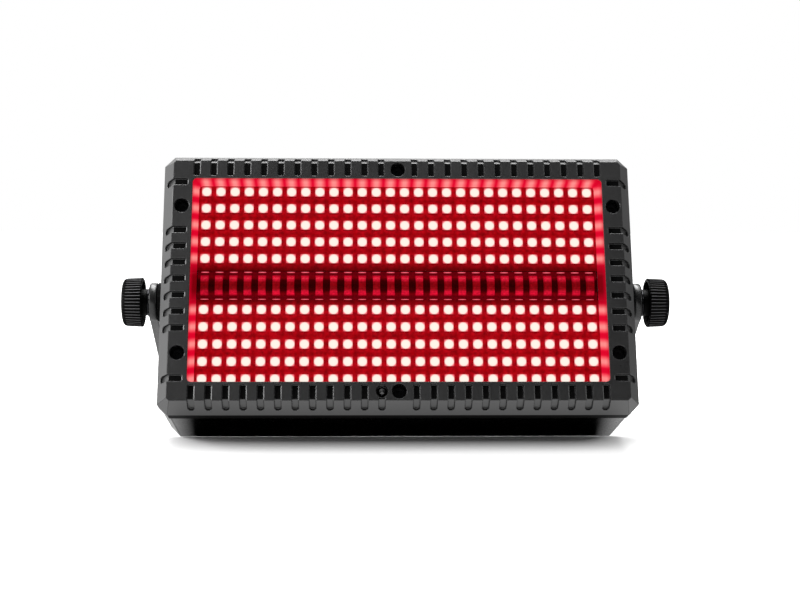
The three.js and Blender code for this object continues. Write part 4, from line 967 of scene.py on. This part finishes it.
def clamp_knob(side, node):
    """A profile turned round the pivot line, from the blind end of the bore, out over the hub, the hollow
    back, the ribbed rim and the dished face. Each point is the centre plus the axis times its distance
    plus its radius times (one side * cos + the other side * sin). The ribs are the cosine of as many times
    the angle, cut off flat at crest and foot, and a ring has its own share of their depth."""
    inner, outer = knob_ends(node)
    rim = inner + hub_length
    hollow = rim + hollow_depth
    profile = [
        (outer - bore_end, 0.0, 0),
        (outer - bore_end, stud_bore, 0),
        (inner + back_edge, stud_bore, 0),
        (inner, stud_bore + back_edge, 0),
        (inner, hub_radius - back_edge, 0),
        (inner + back_edge, hub_radius, 0),
        (hollow - hollow_edge, hub_radius, 0),
        (hollow, hub_radius + hollow_edge, 0),
        (hollow, hollow_radius - hollow_edge, 0),
        (hollow - hollow_edge, hollow_radius, 0),
        (rim + back_edge, hollow_radius, 0),
        (rim, hollow_radius + back_edge, 0),
        (rim, knob_radius - 0.8, 0),
        (rim + 0.2, knob_radius - 0.3, 0.7),
        (rim + rib_start, knob_radius, 1),
        (outer - rib_end, knob_radius - knob_taper, 1),
        (outer - 1.4, 12.75, 1),
        (outer - 0.7, 12.3, 0.9),
        (outer - 0.2, 11.6, 0.5),
        (outer, 10.9, 0),
        (outer, dish_radius, 0),
        (outer - 0.5, dish_radius - dish_depth, 0),
        (outer - dish_depth, 4.0, 0),
        (outer - dish_depth, 0.0, 0),
    ]
    distance, radius, share = np.array(profile, float).T
    angles = full_turn(knob_ribs * rib_samples)
    dip = np.clip((rib_flat - np.cos(knob_ribs * angles)) * rib_steepness, 0, 1)
    radii = radius[:, None] - share[:, None] * dip * rib_depth
    along = np.array((side, 0.0, 0.0))
    one_side = np.cross(along, face_up)
    one_side = one_side / np.linalg.norm(one_side)
    other_side = np.cross(along, one_side)
    turned = np.cos(angles)[:, None] * one_side + np.sin(angles)[:, None] * other_side
    centre = np.array(joints[node + "_turn"]["pos_m"]) * (0, 1, 1)
    rings = centre + (distance[:, None, None] * along + radii[..., None] * turned) * mm
    points, faces = closed_loft(rings)
    piece = add_piece(node + "_shape", points, faces, node, [knob_plastic])
    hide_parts(node)


clamp_knob(-1, "left_knob")
clamp_knob(1, "right_knob")


# The camera

camera_place = Vector((-0.0238, -0.8651, 0.1351))
camera_aim = Vector((0.0011, -0.05, 0.0773))
camera_lens = 70.0
camera_roll = math.radians(0.19)

camera_data = bpy.data.cameras.new("camera")
camera_data.lens = camera_lens
camera = bpy.data.objects.new("camera", camera_data)
bpy.context.scene.collection.objects.link(camera)
bpy.context.scene.camera = camera
camera.location = camera_place
look = (camera_aim - camera_place).to_track_quat("-Z", "Y")
camera.rotation_mode = "QUATERNION"
camera.rotation_quaternion = look @ Matrix.Rotation(camera_roll, 4, "Z").to_quaternion()


# The floor, in metres
# Its shade shows under the light, and painted light lifts it to white beyond; what is glossy mirrors a
# painted floor, white but for painted shade from in front of the light to behind it, and dimmer on the
# right

floor_size = 8.0
floor_grey = (0.9, 0.9, 0.9, 1)
bounce_grey = (0.4, 0.4, 0.4, 1)
shade_half_x = 0.094
shade_front = -0.0188
shade_back = 0.084
shade_edge = (0.015, 0.053)
shade_levels = (0.02, 0.65)
far_floor = (0.1, 0.5)
far_levels = (0.0, 0.15)
mirrored_half_x = 0.1095
mirrored_front = -0.061
mirrored_scale = 0.55
mirrored_edge = (0.0, 0.014)
right_floor = (0.14, 0.35)
right_dimming = (0.0, 0.7)


def beyond_rectangle(tree, parts, half_x, front, back, along_scale):
    """How far a place on the floor lies outside a rectangle, which is zero inside it. The scale lengthens
    or shortens the distance along Y."""
    across = maths(tree, "SUBTRACT", maths(tree, "ABSOLUTE", parts["X"]), half_x)
    along = maths(tree, "SUBTRACT", parts["Y"], (front + back) / 2)
    along = maths(tree, "SUBTRACT", maths(tree, "ABSOLUTE", along), (back - front) / 2)
    along = maths(tree, "MULTIPLY", along, along_scale)
    return flat_length(tree, maths(tree, "MAXIMUM", across, 0.0), maths(tree, "MAXIMUM", along, 0.0))


def make_floor_material():
    """White for what looks at the floor or through something at it, with painted light lifting its shade
    beyond a rectangle, a painted mirror image for what is glossy, and a grey that lights the rest softly."""
    material = bpy.data.materials.new("white floor")
    material.use_nodes = True
    tree = material.node_tree
    tree.nodes.clear()
    parts = put(tree, "SeparateXYZ", Vector=object_place(tree)).outputs
    away = beyond_rectangle(tree, parts, shade_half_x, shade_front, shade_back, 1.0)
    # Painted light that lifts the floor's shade to white away from the rectangle under the light
    near_fill = remap(tree, away, shade_edge, shade_levels)
    fill = maths(tree, "ADD", near_fill, remap(tree, away, far_floor, far_levels))
    glow = put(tree, "Emission", Color=white, Strength=fill).outputs[0]
    plain = put(tree, "BsdfDiffuse", Color=floor_grey).outputs[0]
    lifted = put(tree, "AddShader", n0=plain, n1=glow).outputs[0]
    # The painted mirror image: painted shade in a rectangle under the light, white beyond it, dimmer on the
    # right
    round_it = beyond_rectangle(tree, parts, mirrored_half_x, mirrored_front, shade_back, mirrored_scale)
    dimming = remap(tree, parts["X"], right_floor, right_dimming)
    level = maths(
        tree, "MULTIPLY", remap(tree, round_it, mirrored_edge), maths(tree, "SUBTRACT", 1.0, dimming)
    )
    mirrored = put(tree, "Emission", Color=white, Strength=level).outputs[0]
    shown = mix_shaders(tree, ray_is(tree, "Glossy"), lifted, mirrored)
    bounce = put(tree, "BsdfDiffuse", Color=bounce_grey).outputs[0]
    seen = ray_is(tree, "Camera", "Transmission", "Glossy")
    put(tree, "OutputMaterial", Surface=mix_shaders(tree, seen, bounce, shown))
    return material


floor_corners = np.array([(-1, -1, 0), (1, -1, 0), (1, 1, 0), (-1, 1, 0)], float) * (floor_size / 2)
floor_mesh = bpy.data.meshes.new("floor")
floor_mesh.from_pydata(floor_corners.tolist(), [], [(0, 1, 2, 3)])
floor_mesh.materials.append(make_floor_material())
floor = bpy.data.objects.new("floor", floor_mesh)
bpy.context.scene.collection.objects.link(floor)


# The room, by the direction it is seen in
# It is white behind the light and on its left, greyer on its right, and dark where the face looks

right_room = (-0.1, 0.6)
right_levels = (1.0, 0.26)
mirrored_room = (-0.75, 0.1)
mirrored_levels = (0.1, 1.0)
lighting_room = (-0.9, 0.1)
lighting_levels = (0.1, 0.9)


def room_light(tree, level):
    """The room's light at a level."""
    return put(tree, "Background", Color=white, Strength=level).outputs[0]


def make_room(tree):
    """White for the camera, and for mirrored and other light the room's own levels."""
    tree.nodes.clear()
    direction = put(tree, "TexCoord").outputs["Generated"]
    parts = put(tree, "SeparateXYZ", Vector=direction).outputs
    side = remap(tree, parts["X"], right_room, right_levels)
    lighting = maths(tree, "MULTIPLY", remap(tree, parts["Y"], lighting_room, lighting_levels), side)
    mirrored = maths(tree, "MULTIPLY", remap(tree, parts["Y"], mirrored_room, mirrored_levels), side)
    glossy = ray_is(tree, "Glossy")
    unseen = mix_shaders(tree, glossy, room_light(tree, lighting), room_light(tree, mirrored))
    seen = ray_is(tree, "Camera", "Transmission")
    put(tree, "OutputWorld", Surface=mix_shaders(tree, seen, unseen, room_light(tree, 1.0)))


world = bpy.data.worlds.new("studio")
bpy.context.scene.world = world
world.use_nodes = True
make_room(world.node_tree)


# The lamps

light_middle = (0, 0, 0.08)


def soft_light(name, place, size, power):
    """A square soft light that looks at the middle of the strobe light."""
    data = bpy.data.lights.new(name, "AREA")
    data.size = size
    data.energy = power
    light = bpy.data.objects.new(name, data)
    bpy.context.scene.collection.objects.link(light)
    light.location = place
    light.rotation_mode = "QUATERNION"
    light.rotation_quaternion = (Vector(light_middle) - Vector(place)).to_track_quat("-Z", "Y")


soft_light("left softbox", (-1.3, -0.45, 0.5), 0.8, 17.0)
soft_light("right softbox", (1.3, -0.45, 0.5), 0.8, 3.0)
soft_light("overhead softbox", (0, 0.4, 1.25), 1.0, 30.0)

bpy.context.scene.view_settings.view_transform = "Standard"
